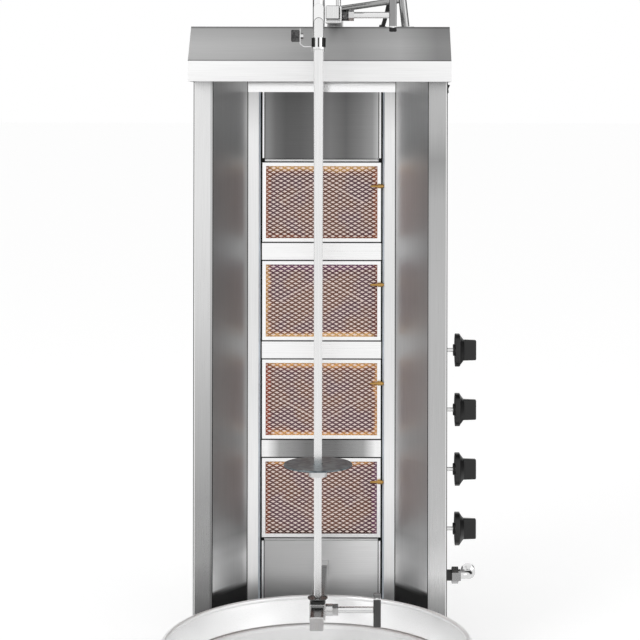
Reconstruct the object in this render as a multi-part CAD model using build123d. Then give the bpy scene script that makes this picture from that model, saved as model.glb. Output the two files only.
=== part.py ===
from build123d import *
import math
import os

# Upright gas grill for a turning meat spit: body with four burners, spit, drive head and drip pan.
# Millimetres. While it is modelled, the spit stands on X = 0, Y = 0, and Z = 0 is the table.
# place() then moves every piece so that the origin is the middle of the footprint.

os.makedirs("parts", exist_ok=True)

# Clearances
rest_gap = 0.3
slide_gap = 0.2
turn_gap = 0.06
trim_gap = 0.5
press_gap = 0.05

# Body
body_half = 250.0
front_y = 171.0
back_y = 400.0
flange_width = 37.5
sheet = 1.5
thin_sheet = 1.2
rear_lip = 15.0
bend_r = 2.2
base_height = 55.0
base_front_y = -255.0
base_corner = 30.0
body_height = 1191.0
slot_length = 90.0
slot_width = 6.0
slot_pitch = 18.0
slot_rows = 6
slot_column_x = 75.0
slot_low = 150.0
slot_high = 190.0
rear_screws = 5
screw_margin = 40.0
rear_screw_r = 1.9
rear_head_r = 4.0

# Reflectors and the burner window
reflector_x = 149.0
reflector_y = 267.0
window_half = 125.0
window_flare = 5.0
seat_y = 281.2
seat_lip = 9.0
tuck = 22.0

# Hood
hood_overhang = 2.0
hood_front_y = 79.0
hood_height = 107.8
fascia_height = 39.6
slope_run = 64.0
soffit = 16.0
fold_r = 2.5
header_drop = 18.7
header_height = 84.0

# Burners
burner_pitch = 200.0
burner_foot = 242.5
burner_count = 4
bezel_half_w = 121.0
bezel_half_h = 81.0
screen_half_w = 113.0
screen_half_h = 73.5
bezel_depth = 3.7
mesh_thick = 1.2
mesh_columns = 7
mesh_rows = 8
mesh_strand = 3.2
plaque_thick = 12.0
plaque_back = 3.2
housing_depth = 64.0
housing_wall = 2.0
venturi_r = 16.0
venturi_drop = 40.0
venturi_length = 52.0
venturi_y = 318.0
probe_up = 33.0
probe_y = 272.6
probe_length = 37.0
probe_inside = 26.0
probe_r = 4.2

# Feet
foot_height = 25.0
foot_r = 19.0
foot_inset = 35.0
stud_r = 4.0
stud_length = 14.0

# Spit
spit_headroom = 27.0
spit_top_w = 18.0
spit_bottom_w = 13.6
spit_depth = 11.0
spit_edge = 1.2
holder_r = 11.5
holder_length = 116.0
holder_drop = 10.0
holder_foot = 5.0
holder_slot_w = 18.4
arch_drop = 35.0
shaft_r = 8.0
collar_r = 13.4
collar_height = 21.0
collar_fingers = 8
lever_reach = 33.5
lever_width = 12.0
lever_thick = 1.6
lever_rise = 38.0
grip_rise = 24.5
grip_height = 22.0
grip_depth = 16.0
plate_r = 64.0
plate_z = 450.0
plate_thick = 3.0
plate_hub_r = 17.0
plate_hub_height = 20.0
plate_play = 2.6

# Arms and sliding sleeves
arm_size = 25.0
arm_wall = 2.0
sleeve_size = 30.0
sleeve_half = 20.0
lower_arm_z = 179.5
upper_arm_x = 27.5
arm_front_y = -86.0
upper_arm_back_y = 372.0
cap_thick = 3.0
guide_front_y = 246.0
roof_guide_front_y = 168.0
boss_r = 11.0
boss_length = 12.5
nut_across = 19.0
nut_length = 10.8
screw_r = 6.0
screw_length = 92.0
handle_width = 14.0
handle_depth = 10.0
handle_half = 31.0
bearing_r = 14.0
bearing_height = 4.5
cup_r = 18.7
cup_stem_r = 6.0
cup_thick = 3.0
cup_floor = 1.2

# Motor head
pillar_r = 4.5
pillar_spacing = 26.0
pillar_inset = 5.7
pillar_height = 42.5
motor_plate_thick = 5.0
housing_x0 = -66.0
housing_x1 = 84.0
housing_half_y = 60.0
housing_height = 163.0
housing_corner = 14.0
gearbox_height = 46.0
gearbox_length = 100.0
gearbox_half_y = 38.0
gearbox_corner = 8.0
gearbox_room = 16.0
motor_r = 36.0
motor_setback = 42.0
motor_headroom = 20.0
shaft_grip = 12.0

# Valves, knobs, switch
knob_top_z = 621.0
knob_pitch = 121.3
valve_y = 291.0
valve_r = 14.0
valve_length = 44.0
neck_r = 7.5
neck_length = 5.5
spindle_r = 4.0
spindle_grip = 20.0
spindle_push = 4.0
knob_gap = 18.0
knob_boss_r = 12.0
knob_boss = 4.0
skirt_r = 33.5
rim_thick = 9.0
cone_length = 9.0
grip_length = 43.0
grip_thick = 17.0
knob_reach = 47.0
knob_socket = 18.0
switch_y = 205.0
switch_drop = 118.0
switch_height = 21.0
switch_width = 15.0
rocker_half = 8.0
rocker_tilt = 10.0

# Gas
manifold_inset = 22.0
manifold_y = 256.0
manifold_r = 11.0
inlet_drop = 85.1
stub_r = 7.0
jet_offset = 40.0
jet_length = 20.0
jet_across = 13.0
nipple_r = 11.0
nipple_out = 14.0
union_across = 30.0
union_length = 18.0
elbow_r = 8.0
elbow_bend = 16.0
elbow_reach = 17.0
socket_r = 14.0
socket_bore_r = 9.3
socket_length = 18.0
pipe_r = 4.0
pipe_step = 14.0
pipe_offset = 13.0
pipe_bend = 5.5
pipe_last_bend = 5.0

# Pan
pan_y = -53.0
pan_floor_r = 262.0
pan_rim_r = 285.0
pan_depth = 60.0
pan_wall = 1.5
bead_r = 4.5

# Stay and cable on the roof
stay_r = 8.0
stay_x = 168.0
stay_y = 205.0
stay_lean = 6.6
stay_length = 130.0
stay_flange_r = 17.0
stay_flange = 3.0
tie_r = 6.0
tie_rise = 8.4
cable_d = 8.5
gland_r = 11.0
gland_length = 11.0
gland_neck_r = 8.0
gland_rise = 55.0

# Worked out from the above
base_top_z = foot_height + base_height
body_top_z = base_top_z + body_height
roof_z = body_top_z + sheet
hood_half = body_half + hood_overhang
hood_bottom_z = roof_z - hood_height
fascia_top_z = hood_bottom_z + fascia_height
header_z = hood_bottom_z - header_drop
burner_first_z = base_top_z + burner_foot
switch_z = body_top_z - switch_drop
manifold_x = body_half - manifold_inset
hood_back_y = back_y + sheet + slide_gap + sheet
burner_z = [burner_first_z + burner_pitch * k for k in reversed(range(burner_count))]
knob_z = [knob_top_z - knob_pitch * k for k in range(burner_count)]
inlet_z = knob_z[-1] - inlet_drop
sleeve_wall = (sleeve_size - arm_size) / 2 - slide_gap
upper_arm_z = roof_z + sleeve_size / 2
roof_guide_top = upper_arm_z + sleeve_size / 2
sleeve_top = lower_arm_z + sleeve_size / 2
cup_z = sleeve_top + bearing_height + rest_gap
spit_bottom_z = cup_z + cup_floor + rest_gap
motor_plate_z = roof_guide_top + pillar_height
holder_top_z = motor_plate_z - holder_drop
holder_bottom_z = holder_top_z - holder_length
collar_z = holder_bottom_z + holder_foot
slot_arch_z = motor_plate_z - arch_drop
spit_top_z = slot_arch_z - spit_headroom
housing_top_z = motor_plate_z + housing_height
gland_z = motor_plate_z + gland_rise
gearbox_z = motor_plate_z + motor_plate_thick
motor_height = housing_top_z - motor_headroom - gearbox_z - gearbox_height
pan_bottom_z = base_top_z + rest_gap
wall_x = body_half
origin_x = (wall_x + knob_gap + knob_reach - pan_rim_r) / 2
origin_y = (hood_back_y + pan_y - pan_rim_r) / 2


def block(x0, x1, y0, y1, z0, z1):
    # A rectangular block between two corners
    size = Box(x1 - x0, y1 - y0, z1 - z0, align=(Align.MIN, Align.MIN, Align.MIN))
    return Pos(x0, y0, z0) * size


def rod(start, direction, radius, length):
    # A round bar from a start point along a direction
    plane = Plane(origin=start, z_dir=direction)
    return plane * Cylinder(radius, length, align=(Align.CENTER, Align.CENTER, Align.MIN))


def hexagon(start, direction, across, length):
    # A hexagonal bar from a start point along a direction
    plane = Plane(origin=start, z_dir=direction)
    outline = RegularPolygon(across / 2, 6, major_radius=False)
    return plane * extrude(outline, length)


def turned(start, direction, points, fillets=()):
    # A turned piece: points are (radius, distance along the direction)
    outline = make_face(Polyline(*[(r, 0, d) for r, d in points], close=True))
    piece = revolve(outline, Axis.Z)
    for radius, height in fillets:
        circles = piece.edges().filter_by(GeomType.CIRCLE)
        rim = circles.filter_by_position(Axis.Z, height - 0.01, height + 0.01)
        piece = fillet(rim.sort_by(SortBy.RADIUS)[-1], radius)
    return Plane(origin=start, z_dir=direction) * piece


def mitred(points, thickness):
    # The outline of a folded strip: points run along its face, thickness is to their left
    normals = []
    for (x0, y0), (x1, y1) in zip(points, points[1:]):
        length = math.hypot(x1 - x0, y1 - y0)
        normals.append((-(y1 - y0) / length, (x1 - x0) / length))
    back = []
    for index, (x, y) in enumerate(points):
        before = normals[max(index - 1, 0)]
        after = normals[min(index, len(normals) - 1)]
        nx = before[0] + after[0]
        ny = before[1] + after[1]
        scale = thickness / (1 + before[0] * after[0] + before[1] * after[1])
        back.append((x + nx * scale, y + ny * scale))
    return points + back[::-1]


def folded(points, thickness, z0, z1):
    # An upright folded sheet from its path in plan
    outline = make_face(Polyline(*mitred(points, thickness), close=True))
    return Pos(0, 0, z0) * extrude(outline, z1 - z0)


def folded_along_x(points, thickness, x0, x1):
    # A folded sheet from its path in side view, points are (y, z)
    outline = make_face(Polyline(*mitred(points, thickness), close=True))
    side = Plane(origin=(x0, 0, 0), x_dir=(0, 1, 0), z_dir=(1, 0, 0))
    return side * extrude(outline, x1 - x0)


def square_tube(x, z, outer, wall, y0, y1):
    # A square tube along Y
    section = RectangleRounded(outer, outer, 2.0) - RectangleRounded(outer - 2 * wall, outer - 2 * wall, 1.0)
    plane = Plane(origin=(x, y0, z), x_dir=(1, 0, 0), z_dir=(0, 1, 0))
    return plane * extrude(section, y1 - y0)


def square_bar(x, z, size, y0, y1):
    # A square bar along Y
    plane = Plane(origin=(x, y0, z), x_dir=(1, 0, 0), z_dir=(0, 1, 0))
    return plane * extrude(Rectangle(size, size), y1 - y0)


def tube_path(points, share=0.45):
    # Straight runs joined by arcs, each arc as large as its runs allow
    corners = [Vector(*p) for p in points]
    radii = []
    for a, b, c in zip(corners, corners[1:], corners[2:]):
        turn = math.radians((b - a).get_angle(c - b))
        run = min((b - a).length, (c - b).length)
        radii.append(share * run / math.tan(turn / 2))
    return FilletPolyline(*corners, radius=radii)


def pipe(path, radius):
    # A round bar swept along a path
    section = Plane(origin=path @ 0, z_dir=path % 0) * Circle(radius)
    return sweep(section, path=path)


def base_platform():
    # Closed sheet-metal plinth that the body and the pan stand on
    tray = block(-body_half, body_half, base_front_y, back_y, foot_height, base_top_z)
    front = tray.edges().filter_by(Axis.Z).filter_by_position(Axis.Y, base_front_y - 1, base_front_y + 1)
    tray = fillet(front, base_corner)
    top = tray.faces().sort_by(Axis.Z)[-1].edges()
    tray = chamfer(top, 1.5)
    for x, y in foot_places():
        tray -= rod((x, y, foot_height), (0, 0, 1), stud_r + 0.1, stud_length + 1)
    return tray


def foot_places():
    # The middles of the four feet
    xs = (-body_half + foot_inset, body_half - foot_inset)
    ys = (base_front_y + foot_inset + 10, back_y - foot_inset)
    return [(x, y) for x in xs for y in ys]


def rubber_feet():
    # Four moulded feet with a stud
    feet = []
    for x, y in foot_places():
        outline = [(0, 0), (foot_r, 0), (foot_r, 4), (foot_r - 4, foot_height), (stud_r, foot_height),
                   (stud_r, foot_height + stud_length), (0, foot_height + stud_length)]
        feet.append(turned((x, y, 0), (0, 0, 1), outline))
    return feet


def side_panel(side):
    # Outer wall with the front flange and the rear lip; side is -1 or 1
    inner = body_half - flange_width
    path = [(inner, front_y), (body_half, front_y), (body_half, back_y), (body_half - rear_lip, back_y)]
    panel = folded(path, sheet, base_top_z, body_top_z)
    bends = panel.edges().filter_by(Axis.Z).filter_by_position(Axis.X, body_half - 0.01, body_half + 0.01)
    panel = fillet(bends, bend_r)
    for z in screw_heights():
        panel -= rod((body_half - rear_lip / 2, back_y - 5, z), (0, 1, 0), rear_screw_r + slide_gap, 10)
    if side < 0:
        return mirror(panel, Plane.YZ)
    for z in knob_z:
        panel -= rod((wall_x - 10, valve_y, z), (1, 0, 0), neck_r + 0.2, 20)
    panel -= rod((wall_x - 10, manifold_y, inlet_z), (1, 0, 0), nipple_r + 0.3, 20)
    cutout = (switch_width - 2) / 2 + 0.2
    tall = (switch_height - 2) / 2 + 0.2
    panel -= block(wall_x - 10, wall_x + 10, switch_y - cutout, switch_y + cutout,
                   switch_z - tall, switch_z + tall)
    return panel


def screw_heights():
    # Heights of the rear cover's screws
    low = base_top_z + screw_margin
    high = hood_bottom_z - screw_margin
    return [low + (high - low) * k / (rear_screws - 1) for k in range(rear_screws)]


def reflector(side):
    # Angled heat reflector: tucked behind the flange, slanting to the window's flared wall, with the seat lip
    flange_back = front_y + sheet
    inner = body_half - flange_width
    wide = window_half + window_flare / 2
    narrow = window_half - window_flare / 2
    path = [(inner + tuck, flange_back), (inner, flange_back), (reflector_x, reflector_y),
            (wide, reflector_y), (narrow, seat_y), (window_half - seat_lip, seat_y)]
    path = [(-x, y) for x, y in path]
    panel = folded(path, thin_sheet, base_top_z, header_z + header_height)
    if side > 0:
        panel = mirror(panel, Plane.YZ)
        for z in burner_z:
            panel -= rod((window_half - 5, probe_y, z + probe_up), (1, 0, 0), 3.0, 12)
    return panel


def back_cover():
    # Rear sheet with two fields of cooling slots
    half = body_half - 1
    cover = block(-half, half, back_y, back_y + sheet, base_top_z + 1, body_top_z - 1)
    upright = Plane(origin=(0, back_y - 4, 0), x_dir=(1, 0, 0), z_dir=(0, 1, 0))
    slot = upright * extrude(SlotOverall(slot_length, slot_width), 10)
    for field_z in (base_top_z + slot_low, hood_bottom_z - slot_high):
        for x in (-slot_column_x, slot_column_x):
            for row in range(slot_rows):
                cover -= Pos(x, 0, field_z + row * slot_pitch) * slot
    for z in screw_heights():
        for side in (-1, 1):
            place_x = side * (body_half - rear_lip / 2)
            cover -= rod((place_x, back_y - 4, z), (0, 1, 0), rear_screw_r + slide_gap, 10)
    return cover


def panel_screws():
    # Pan-head screws of the rear cover
    screws = []
    for z in screw_heights():
        for side in (-1, 1):
            start = (side * (body_half - rear_lip / 2), back_y + sheet, z)
            outline = [(0, -6), (rear_screw_r, -6), (rear_screw_r, 0),
                       (rear_head_r, 0), (rear_head_r - 0.6, 1.1),
                       (0, 1.6)]
            screws.append(turned(start, (0, 1, 0), outline))
    return screws


def side_prism(profile, x0, x1):
    # An outline in side view, drawn as (y, z), carried along X
    return Plane(origin=(x0, 0, 0), x_dir=(0, 1, 0), z_dir=(1, 0, 0)) * extrude(profile, x1 - x0)


def hood():
    # One folded cover with fascia, slope, roof and gables, open below, with a soffit lip
    slope_y = hood_front_y + slope_run
    corners = [(hood_front_y, hood_bottom_z), (hood_front_y, fascia_top_z), (slope_y, roof_z),
               (hood_back_y, roof_z), (hood_back_y, hood_bottom_z)]
    profile = make_face(Polyline(*corners, close=True))
    folds = [corner for corner in profile.vertices() if corner.Y > hood_bottom_z + 1]
    profile = fillet(folds, fold_r)
    room = offset(profile, -sheet, kind=Kind.INTERSECTION)
    inside = hood_half - sheet
    cavity = side_prism(room, -inside, inside)
    shell = side_prism(profile, -hood_half, hood_half) - cavity - Pos(0, 0, -2 * sheet) * cavity
    shell += block(-inside, inside, hood_front_y, hood_front_y + soffit, hood_bottom_z, hood_bottom_z + sheet)
    return shell


def window_header():
    # Strip across the top of the burner window, with a return along its lower edge
    front = reflector_y - thin_sheet
    half = window_half - window_flare / 2 - trim_gap
    path = [(front, header_z + header_height), (front, header_z), (seat_y - 5, header_z)]
    strip = folded_along_x(path, thin_sheet, -half, half)
    wide = block(-reflector_x, reflector_x, front, reflector_y, header_z, header_z + header_height)
    return strip + wide


def blank_plate(z0, z1, sloped_foot=0.0):
    # Blank plate with a raised bead down each side
    half = bezel_half_w
    front = seat_y - bezel_depth
    face = seat_y - thin_sheet
    path = [(-half, seat_y), (-half, front), (-half + 4, front), (-half + 6, face),
            (half - 6, face), (half - 4, front), (half, front), (half, seat_y)]
    plate = folded(path, thin_sheet, z0 + sloped_foot, z1)
    if sloped_foot:
        foot = [(face, z0 + sloped_foot + 4), (face, z0 + sloped_foot), (front, z0 + 1), (front, z0)]
        plate += folded_along_x(foot, thin_sheet, -half + 6, half - 6)
    return plate


def upper_plate():
    # Blank plate between the top burner and the header
    return blank_plate(burner_z[0] + bezel_half_h + trim_gap, header_z + 6, 8.0)


def lower_plate():
    # Blank plate below the last burner, pierced by the lower guide
    top = burner_z[-1] - bezel_half_h - trim_gap
    plate = blank_plate(base_top_z, top - 6)
    front = seat_y - bezel_depth
    face = seat_y - thin_sheet
    lip = [(seat_y, top), (front, top), (front, top - 3), (face, top - 6), (face, top - 10)]
    plate += folded_along_x(lip, thin_sheet, -bezel_half_w + 6, bezel_half_w - 6)
    return plate - square_bar(0, lower_arm_z, sleeve_size + 0.2, front - 5, seat_y + 10)


def burner_dividers():
    # Folded strips between the burners
    strips = []
    half = (burner_pitch - 2 * bezel_half_h) / 2 - trim_gap
    front = seat_y - bezel_depth
    for k in range(burner_count - 1):
        middle = (burner_z[k] + burner_z[k + 1]) / 2
        path = [(seat_y, middle + half), (front, middle + half),
                (front, middle - half), (seat_y, middle - half)]
        strips.append(folded_along_x(path, thin_sheet, -bezel_half_w, bezel_half_w))
    return strips


def burner_screen(z):
    # Bezel with its expanded-metal mesh: one punched plate of staggered diamonds
    front = seat_y - bezel_depth
    upright = Plane(origin=(0, front, z), x_dir=(1, 0, 0), z_dir=(0, 1, 0))
    ring = Rectangle(2 * bezel_half_w, 2 * bezel_half_h) - Rectangle(2 * screen_half_w, 2 * screen_half_h)
    bezel = upright * extrude(ring, bezel_depth)
    pitch_x = 2 * screen_half_w / mesh_columns
    pitch_z = 2 * screen_half_h / mesh_rows
    long_half = (pitch_x - 2 * mesh_strand) / 2
    short_half = (pitch_z - mesh_strand) / 2
    corners = [(-long_half, 0), (0, short_half), (long_half, 0), (0, -short_half)]
    diamond = make_face(Polyline(*corners, close=True))
    field = Rectangle(2 * screen_half_w + 2, 2 * screen_half_h + 2)
    holes = []
    for row in range(2 * mesh_rows - 1):
        shift = row % 2
        for column in range(mesh_columns - shift):
            x = -screen_half_w + pitch_x * (column + 0.5 + 0.5 * shift)
            y = -screen_half_h + pitch_z * (row + 1) / 2
            holes.append(Pos(x, y) * diamond)
    net = extrude(field - holes, mesh_thick)
    seat = Plane(origin=(0, front + 1.3, z), x_dir=(1, 0, 0), z_dir=(0, 1, 0))
    return bezel + seat * net


def burner_housing(z):
    # Plenum box with a ledge for the plaque and a flared mixing tube
    half_w = window_half - seat_lip - 1.5
    half_h = screen_half_h + 4
    front = seat_y
    back = front + housing_depth
    box = block(-half_w, half_w, front, back, z - half_h, z + half_h)
    rear_edges = box.faces().sort_by(Axis.Y)[-1].edges()
    box = fillet(rear_edges, 9)
    plaque_seat = front + plaque_back + plaque_thick
    wall = housing_wall
    ledge = 7.0
    box -= block(-half_w + wall, half_w - wall, front - 1, plaque_seat, z - half_h + wall, z + half_h - wall)
    box -= block(-half_w + ledge, half_w - ledge, plaque_seat - 1, back - 7,
                 z - half_h + ledge, z + half_h - ledge)
    axis_z = z - venturi_drop
    start = (half_w - 1, venturi_y, axis_z)
    bore = venturi_r - 3
    length = venturi_length
    flare = [(bore - 3, 0), (venturi_r - 3, 0), (venturi_r - 3, length - 14), (venturi_r + 2, length),
             (venturi_r - 1, length), (bore - 3, length - 16)]
    box += turned(start, (1, 0, 0), flare)
    box -= rod((half_w - ledge - 2, venturi_y, axis_z), (1, 0, 0), bore - 3, ledge + 4)
    return box


def ceramic_plaque(z):
    # Glowing ceramic tile behind the mesh
    half_w = window_half - seat_lip - 1.5 - housing_wall - rest_gap
    half_h = screen_half_h + 4 - housing_wall - rest_gap
    y0 = seat_y + plaque_back
    tile = block(-half_w, half_w, y0, y0 + plaque_thick, z - half_h, z + half_h)
    front = tile.faces().sort_by(Axis.Y)[0].edges()
    return chamfer(front, 1.5)


def thermocouple(z):
    # Flame probe that comes through the window's right wall
    outline = [(0, 0), (1.4, 0), (2.2, 1.2), (2.2, 5), (2.8, 5), (2.8, 15), (probe_r, 15), (probe_r, 25),
               (2.5, 25), (2.5, probe_length), (0, probe_length)]
    return turned((window_half - probe_inside, probe_y, z + probe_up), (1, 0, 0), outline)


def injector(z):
    # Brass gas jet in the mouth of the mixing tube
    x = manifold_x - jet_offset
    half = jet_length / 2
    nozzle = turned((x - jet_length, venturi_y, z - venturi_drop), (1, 0, 0),
                    [(0, 0), (2, 0), (4, half / 2), (4, half), (0, half)])
    return nozzle + hexagon((x - half, venturi_y, z - venturi_drop), (1, 0, 0), jet_across, half)


def feed_pipe(index):
    # Copper pipe from a valve up to its jet
    x = manifold_x - pipe_offset
    side = valve_y + valve_r - 1
    away = venturi_y + pipe_step * index + 2
    high = burner_z[index] - venturi_drop
    low = knob_z[index]
    jet = manifold_x - jet_offset
    route = [(x, side, low), (x, away, low), (x, away, high),
             (jet + 12, venturi_y, high), (jet, venturi_y, high)]
    corners = [Vector(*p) for p in route]
    return pipe(FilletPolyline(*corners, radius=[pipe_bend, pipe_bend, pipe_last_bend]), pipe_r)


def gas_manifold():
    # Upright supply pipe with a stub to each valve and a boss for the inlet
    top = knob_z[0] + 24
    bottom = inlet_z - 20
    main = rod((manifold_x, manifold_y, bottom), (0, 0, 1), manifold_r, top - bottom)
    for z in knob_z:
        reach = valve_y - valve_r + 1.5 - manifold_y
        main += rod((manifold_x, manifold_y, z), (0, 1, 0), stub_r, reach)
    main += rod((manifold_x, manifold_y, inlet_z), (1, 0, 0), manifold_r + 2, 14)
    return main


def gas_valve(z):
    # Tap body with a threaded neck through the wall and a bore for the spindle
    inner = wall_x - sheet
    outline = [(0, 0), (valve_r - 4, 0), (valve_r, 3), (valve_r, valve_length), (neck_r, valve_length),
               (neck_r, valve_length + sheet + neck_length), (0, valve_length + sheet + neck_length)]
    body = turned((inner - valve_length, valve_y, z), (1, 0, 0), outline)
    depth = spindle_grip + spindle_push + trim_gap
    body -= rod((inner - depth, valve_y, z), (1, 0, 0), spindle_r + turn_gap, depth + sheet + neck_length + 1)
    reach = valve_y - valve_r + 1.5 - manifold_y
    body -= rod((manifold_x, manifold_y, z), (0, 1, 0), stub_r + press_gap, reach)
    return body - rod((manifold_x - pipe_offset, valve_y + valve_r - 1, z), (0, 1, 0), pipe_r + press_gap, 10)


def valve_spindle(z):
    # Round spindle that is pushed in to light the burner
    outer = wall_x + knob_gap + knob_boss + knob_socket
    inner = wall_x - sheet - spindle_grip
    piece = rod((inner, valve_y, z), (1, 0, 0), spindle_r, outer - inner)
    return chamfer(piece.edges().sort_by(Axis.X)[-1], 0.8)


def control_knob(z):
    # Skirted knob with a grip bar
    back = wall_x + knob_gap
    rim = knob_boss + rim_thick
    nose = rim + cone_length
    outline = [(0, 0), (knob_boss_r, 0), (knob_boss_r, knob_boss), (skirt_r, knob_boss), (skirt_r, rim),
               (skirt_r - 4, rim + 2), (grip_length / 2 - 1, nose), (0, nose)]
    body = turned((back, valve_y, z), (1, 0, 0), outline, [(1.5, rim)])
    root = Plane(origin=(back + rim, valve_y, z), x_dir=(0, 1, 0), z_dir=(1, 0, 0))
    reach = knob_reach - rim
    grip = extrude(RectangleRounded(grip_thick, grip_length, 5), reach, taper=2)
    grip = fillet(grip.faces().sort_by(Axis.Z)[-1].edges(), 2.5)
    body += root * grip
    depth = knob_boss + knob_socket + rest_gap
    return body - rod((back - 1, valve_y, z), (1, 0, 0), spindle_r + turn_gap, depth + 1)


def inlet_nipple():
    # Threaded nipple through the right wall
    start = manifold_x + 14
    return rod((start, manifold_y, inlet_z), (1, 0, 0), nipple_r, wall_x + nipple_out - start)


def inlet_union_nut():
    # Union nut with a turned collar
    x = wall_x + nipple_out
    nut = hexagon((x, manifold_y, inlet_z), (1, 0, 0), union_across, union_length - 5)
    return nut + rod((x, manifold_y, inlet_z), (1, 0, 0), union_across / 2 - 3, union_length)


def inlet_elbow():
    # Chromed elbow that turns to the back and ends in a threaded socket
    x = wall_x + nipple_out + union_length
    corner = x + elbow_reach
    out_y = manifold_y + elbow_reach
    points = [Vector(x, manifold_y, inlet_z), Vector(corner, manifold_y, inlet_z),
              Vector(corner, out_y, inlet_z)]
    elbow = pipe(FilletPolyline(*points, radius=elbow_bend), elbow_r)
    outline = [(0, 0), (elbow_r, 0), (socket_r, 4), (socket_r, socket_length + 4), (0, socket_length + 4)]
    elbow += turned((corner, out_y - 0.5, inlet_z), (0, 1, 0), outline)
    return elbow - rod((corner, out_y - 0.5 + 8, inlet_z), (0, 1, 0), socket_bore_r, socket_length)


def switch_frame():
    # Rocker switch body, snapped into the right wall
    half_y = switch_width / 2
    half_z = switch_height / 2
    bezel = block(wall_x, wall_x + 2, switch_y - half_y, switch_y + half_y,
                  switch_z - half_z, switch_z + half_z)
    bezel = chamfer(bezel.faces().sort_by(Axis.X)[-1].edges(), 0.8)
    bezel += block(wall_x - 15, wall_x, switch_y - half_y + 1, switch_y + half_y - 1,
                   switch_z - half_z + 1, switch_z + half_z - 1)
    bezel -= block(wall_x - 10.5, wall_x + 5, switch_y - 5.1, switch_y + 5.1,
                   switch_z - rocker_half - 0.9, switch_z + rocker_half + 0.9)
    return bezel - rod((wall_x - 0.5, switch_y - 6.4, switch_z), (0, 1, 0), 1.5 + turn_gap, 12.8)


def switch_rocker():
    # Rocker with a shallow V face, tilted to off, on two pins
    reach = 5.4
    arc = ThreePointArc((-rocker_half, 1.0), (0, -rocker_half), (rocker_half, 1.0))
    top = Polyline((rocker_half, 1.0), (rocker_half - 0.2, reach),
                   (0, reach - 2.2), (-rocker_half + 0.2, reach),
                   (-rocker_half, 1.0))
    outline = make_face(Wire([arc] + list(top.edges())))
    plane = Plane(origin=(0, -4.8, 0), x_dir=(0, 0, 1), z_dir=(0, 1, 0))
    piece = plane * extrude(outline, 9.6)
    piece += rod((0, -6.2, 0), (0, 1, 0), 1.5, 12.4)
    return Pos(wall_x - 0.5, switch_y, switch_z) * (Rot(0, rocker_tilt, 0) * piece)


def lower_guide():
    # Square guide welded through the lower plate to the rear cover
    return square_tube(0, lower_arm_z, sleeve_size, sleeve_wall + slide_gap, guide_front_y, back_y)


def lower_arm():
    # Square arm that carries the lower pivot
    return square_tube(0, lower_arm_z, arm_size, arm_wall, arm_front_y, back_y)


def upper_guide():
    # Square guide welded on the roof
    back = upper_arm_back_y - 12
    wall = sleeve_wall + slide_gap
    return square_tube(upper_arm_x, upper_arm_z, sleeve_size, wall, roof_guide_front_y, back)


def upper_arm():
    # Square arm that carries the drive head
    return square_tube(upper_arm_x, upper_arm_z, arm_size, arm_wall, arm_front_y, upper_arm_back_y)


def arm_cap(x, z, y, towards):
    # Push-in end cap of an arm
    inner = arm_size - 2 * arm_wall
    plane = Plane(origin=(x, y, z), x_dir=(1, 0, 0), z_dir=(0, towards, 0))
    head = extrude(RectangleRounded(arm_size, arm_size, 2.0), cap_thick)
    head = fillet(head.faces().sort_by(Axis.Z)[-1].edges(), 1.2)
    plug = Pos(0, 0, -10) * extrude(RectangleRounded(inner - 0.1, inner - 0.1, 1.0), 10)
    return plane * (head + plug)


def arm_end_caps():
    # Caps of both arms, front and top rear
    caps = [arm_cap(0, lower_arm_z, arm_front_y, -1)]
    caps.append(arm_cap(upper_arm_x, upper_arm_z, arm_front_y, -1))
    caps.append(arm_cap(upper_arm_x, upper_arm_z, upper_arm_back_y, 1))
    return caps


def sliding_sleeve(x, z):
    # Sleeve on an arm with the boss and weld nut of its clamp screw
    sleeve = square_tube(x, z, sleeve_size, sleeve_wall, -sleeve_half, sleeve_half)
    side = x + sleeve_size / 2
    sleeve += rod((side - 0.5, 0, z), (1, 0, 0), boss_r, boss_length + 0.5)
    sleeve += hexagon((side + boss_length, 0, z), (1, 0, 0), nut_across, nut_length)
    return sleeve - rod((side - 5, 0, z), (1, 0, 0), screw_r + turn_gap, boss_length + nut_length + 10)


def clamp_screw(x, z, turned_over):
    # Clamp screw with a cross handle whose one end has a turned cap
    tip = x + arm_size / 2 + rest_gap
    piece = rod((tip, 0, z), (1, 0, 0), screw_r, screw_length)
    middle = tip + screw_length + handle_width / 2 - 1
    section = RectangleRounded(handle_width, handle_depth, 3.0)
    cap_height = 9.0
    bar = Pos(0, 0, -handle_half) * extrude(section, 2 * handle_half - cap_height)
    neck = Pos(0, 0, handle_half - cap_height) * extrude(Circle(4.0), 1.6)
    dome = Pos(0, 0, handle_half - cap_height + 1.6) * extrude(section, cap_height - 1.6)
    dome = fillet(dome.faces().sort_by(Axis.Z)[-1].edges(), 2.4)
    handle = bar + neck + dome
    if turned_over:
        handle = Rot(180, 0, 0) * handle
    return piece + Pos(middle, 0, z) * handle


def pivot_bearing():
    # Plain bearing on top of the lower sleeve
    ring = rod((0, 0, sleeve_top), (0, 0, 1), bearing_r, bearing_height)
    return ring - rod((0, 0, sleeve_top - 1), (0, 0, 1), cup_stem_r + turn_gap, bearing_height + 2)


def pivot_cup():
    # Turning cup that centres the foot of the spit
    outline = [(0, -4), (cup_stem_r, -4), (cup_stem_r, 0),
               (cup_r - 2, 0), (cup_r, 2), (cup_r, cup_thick + 0.6),
               (cup_r - 1.4, cup_thick + 0.6), (cup_r - 2.4, cup_thick - 0.8), (8.5, cup_thick - 0.8),
               (5.0, cup_floor), (0, cup_floor)]
    return turned((0, 0, cup_z), (0, 0, 1), outline)


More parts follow.
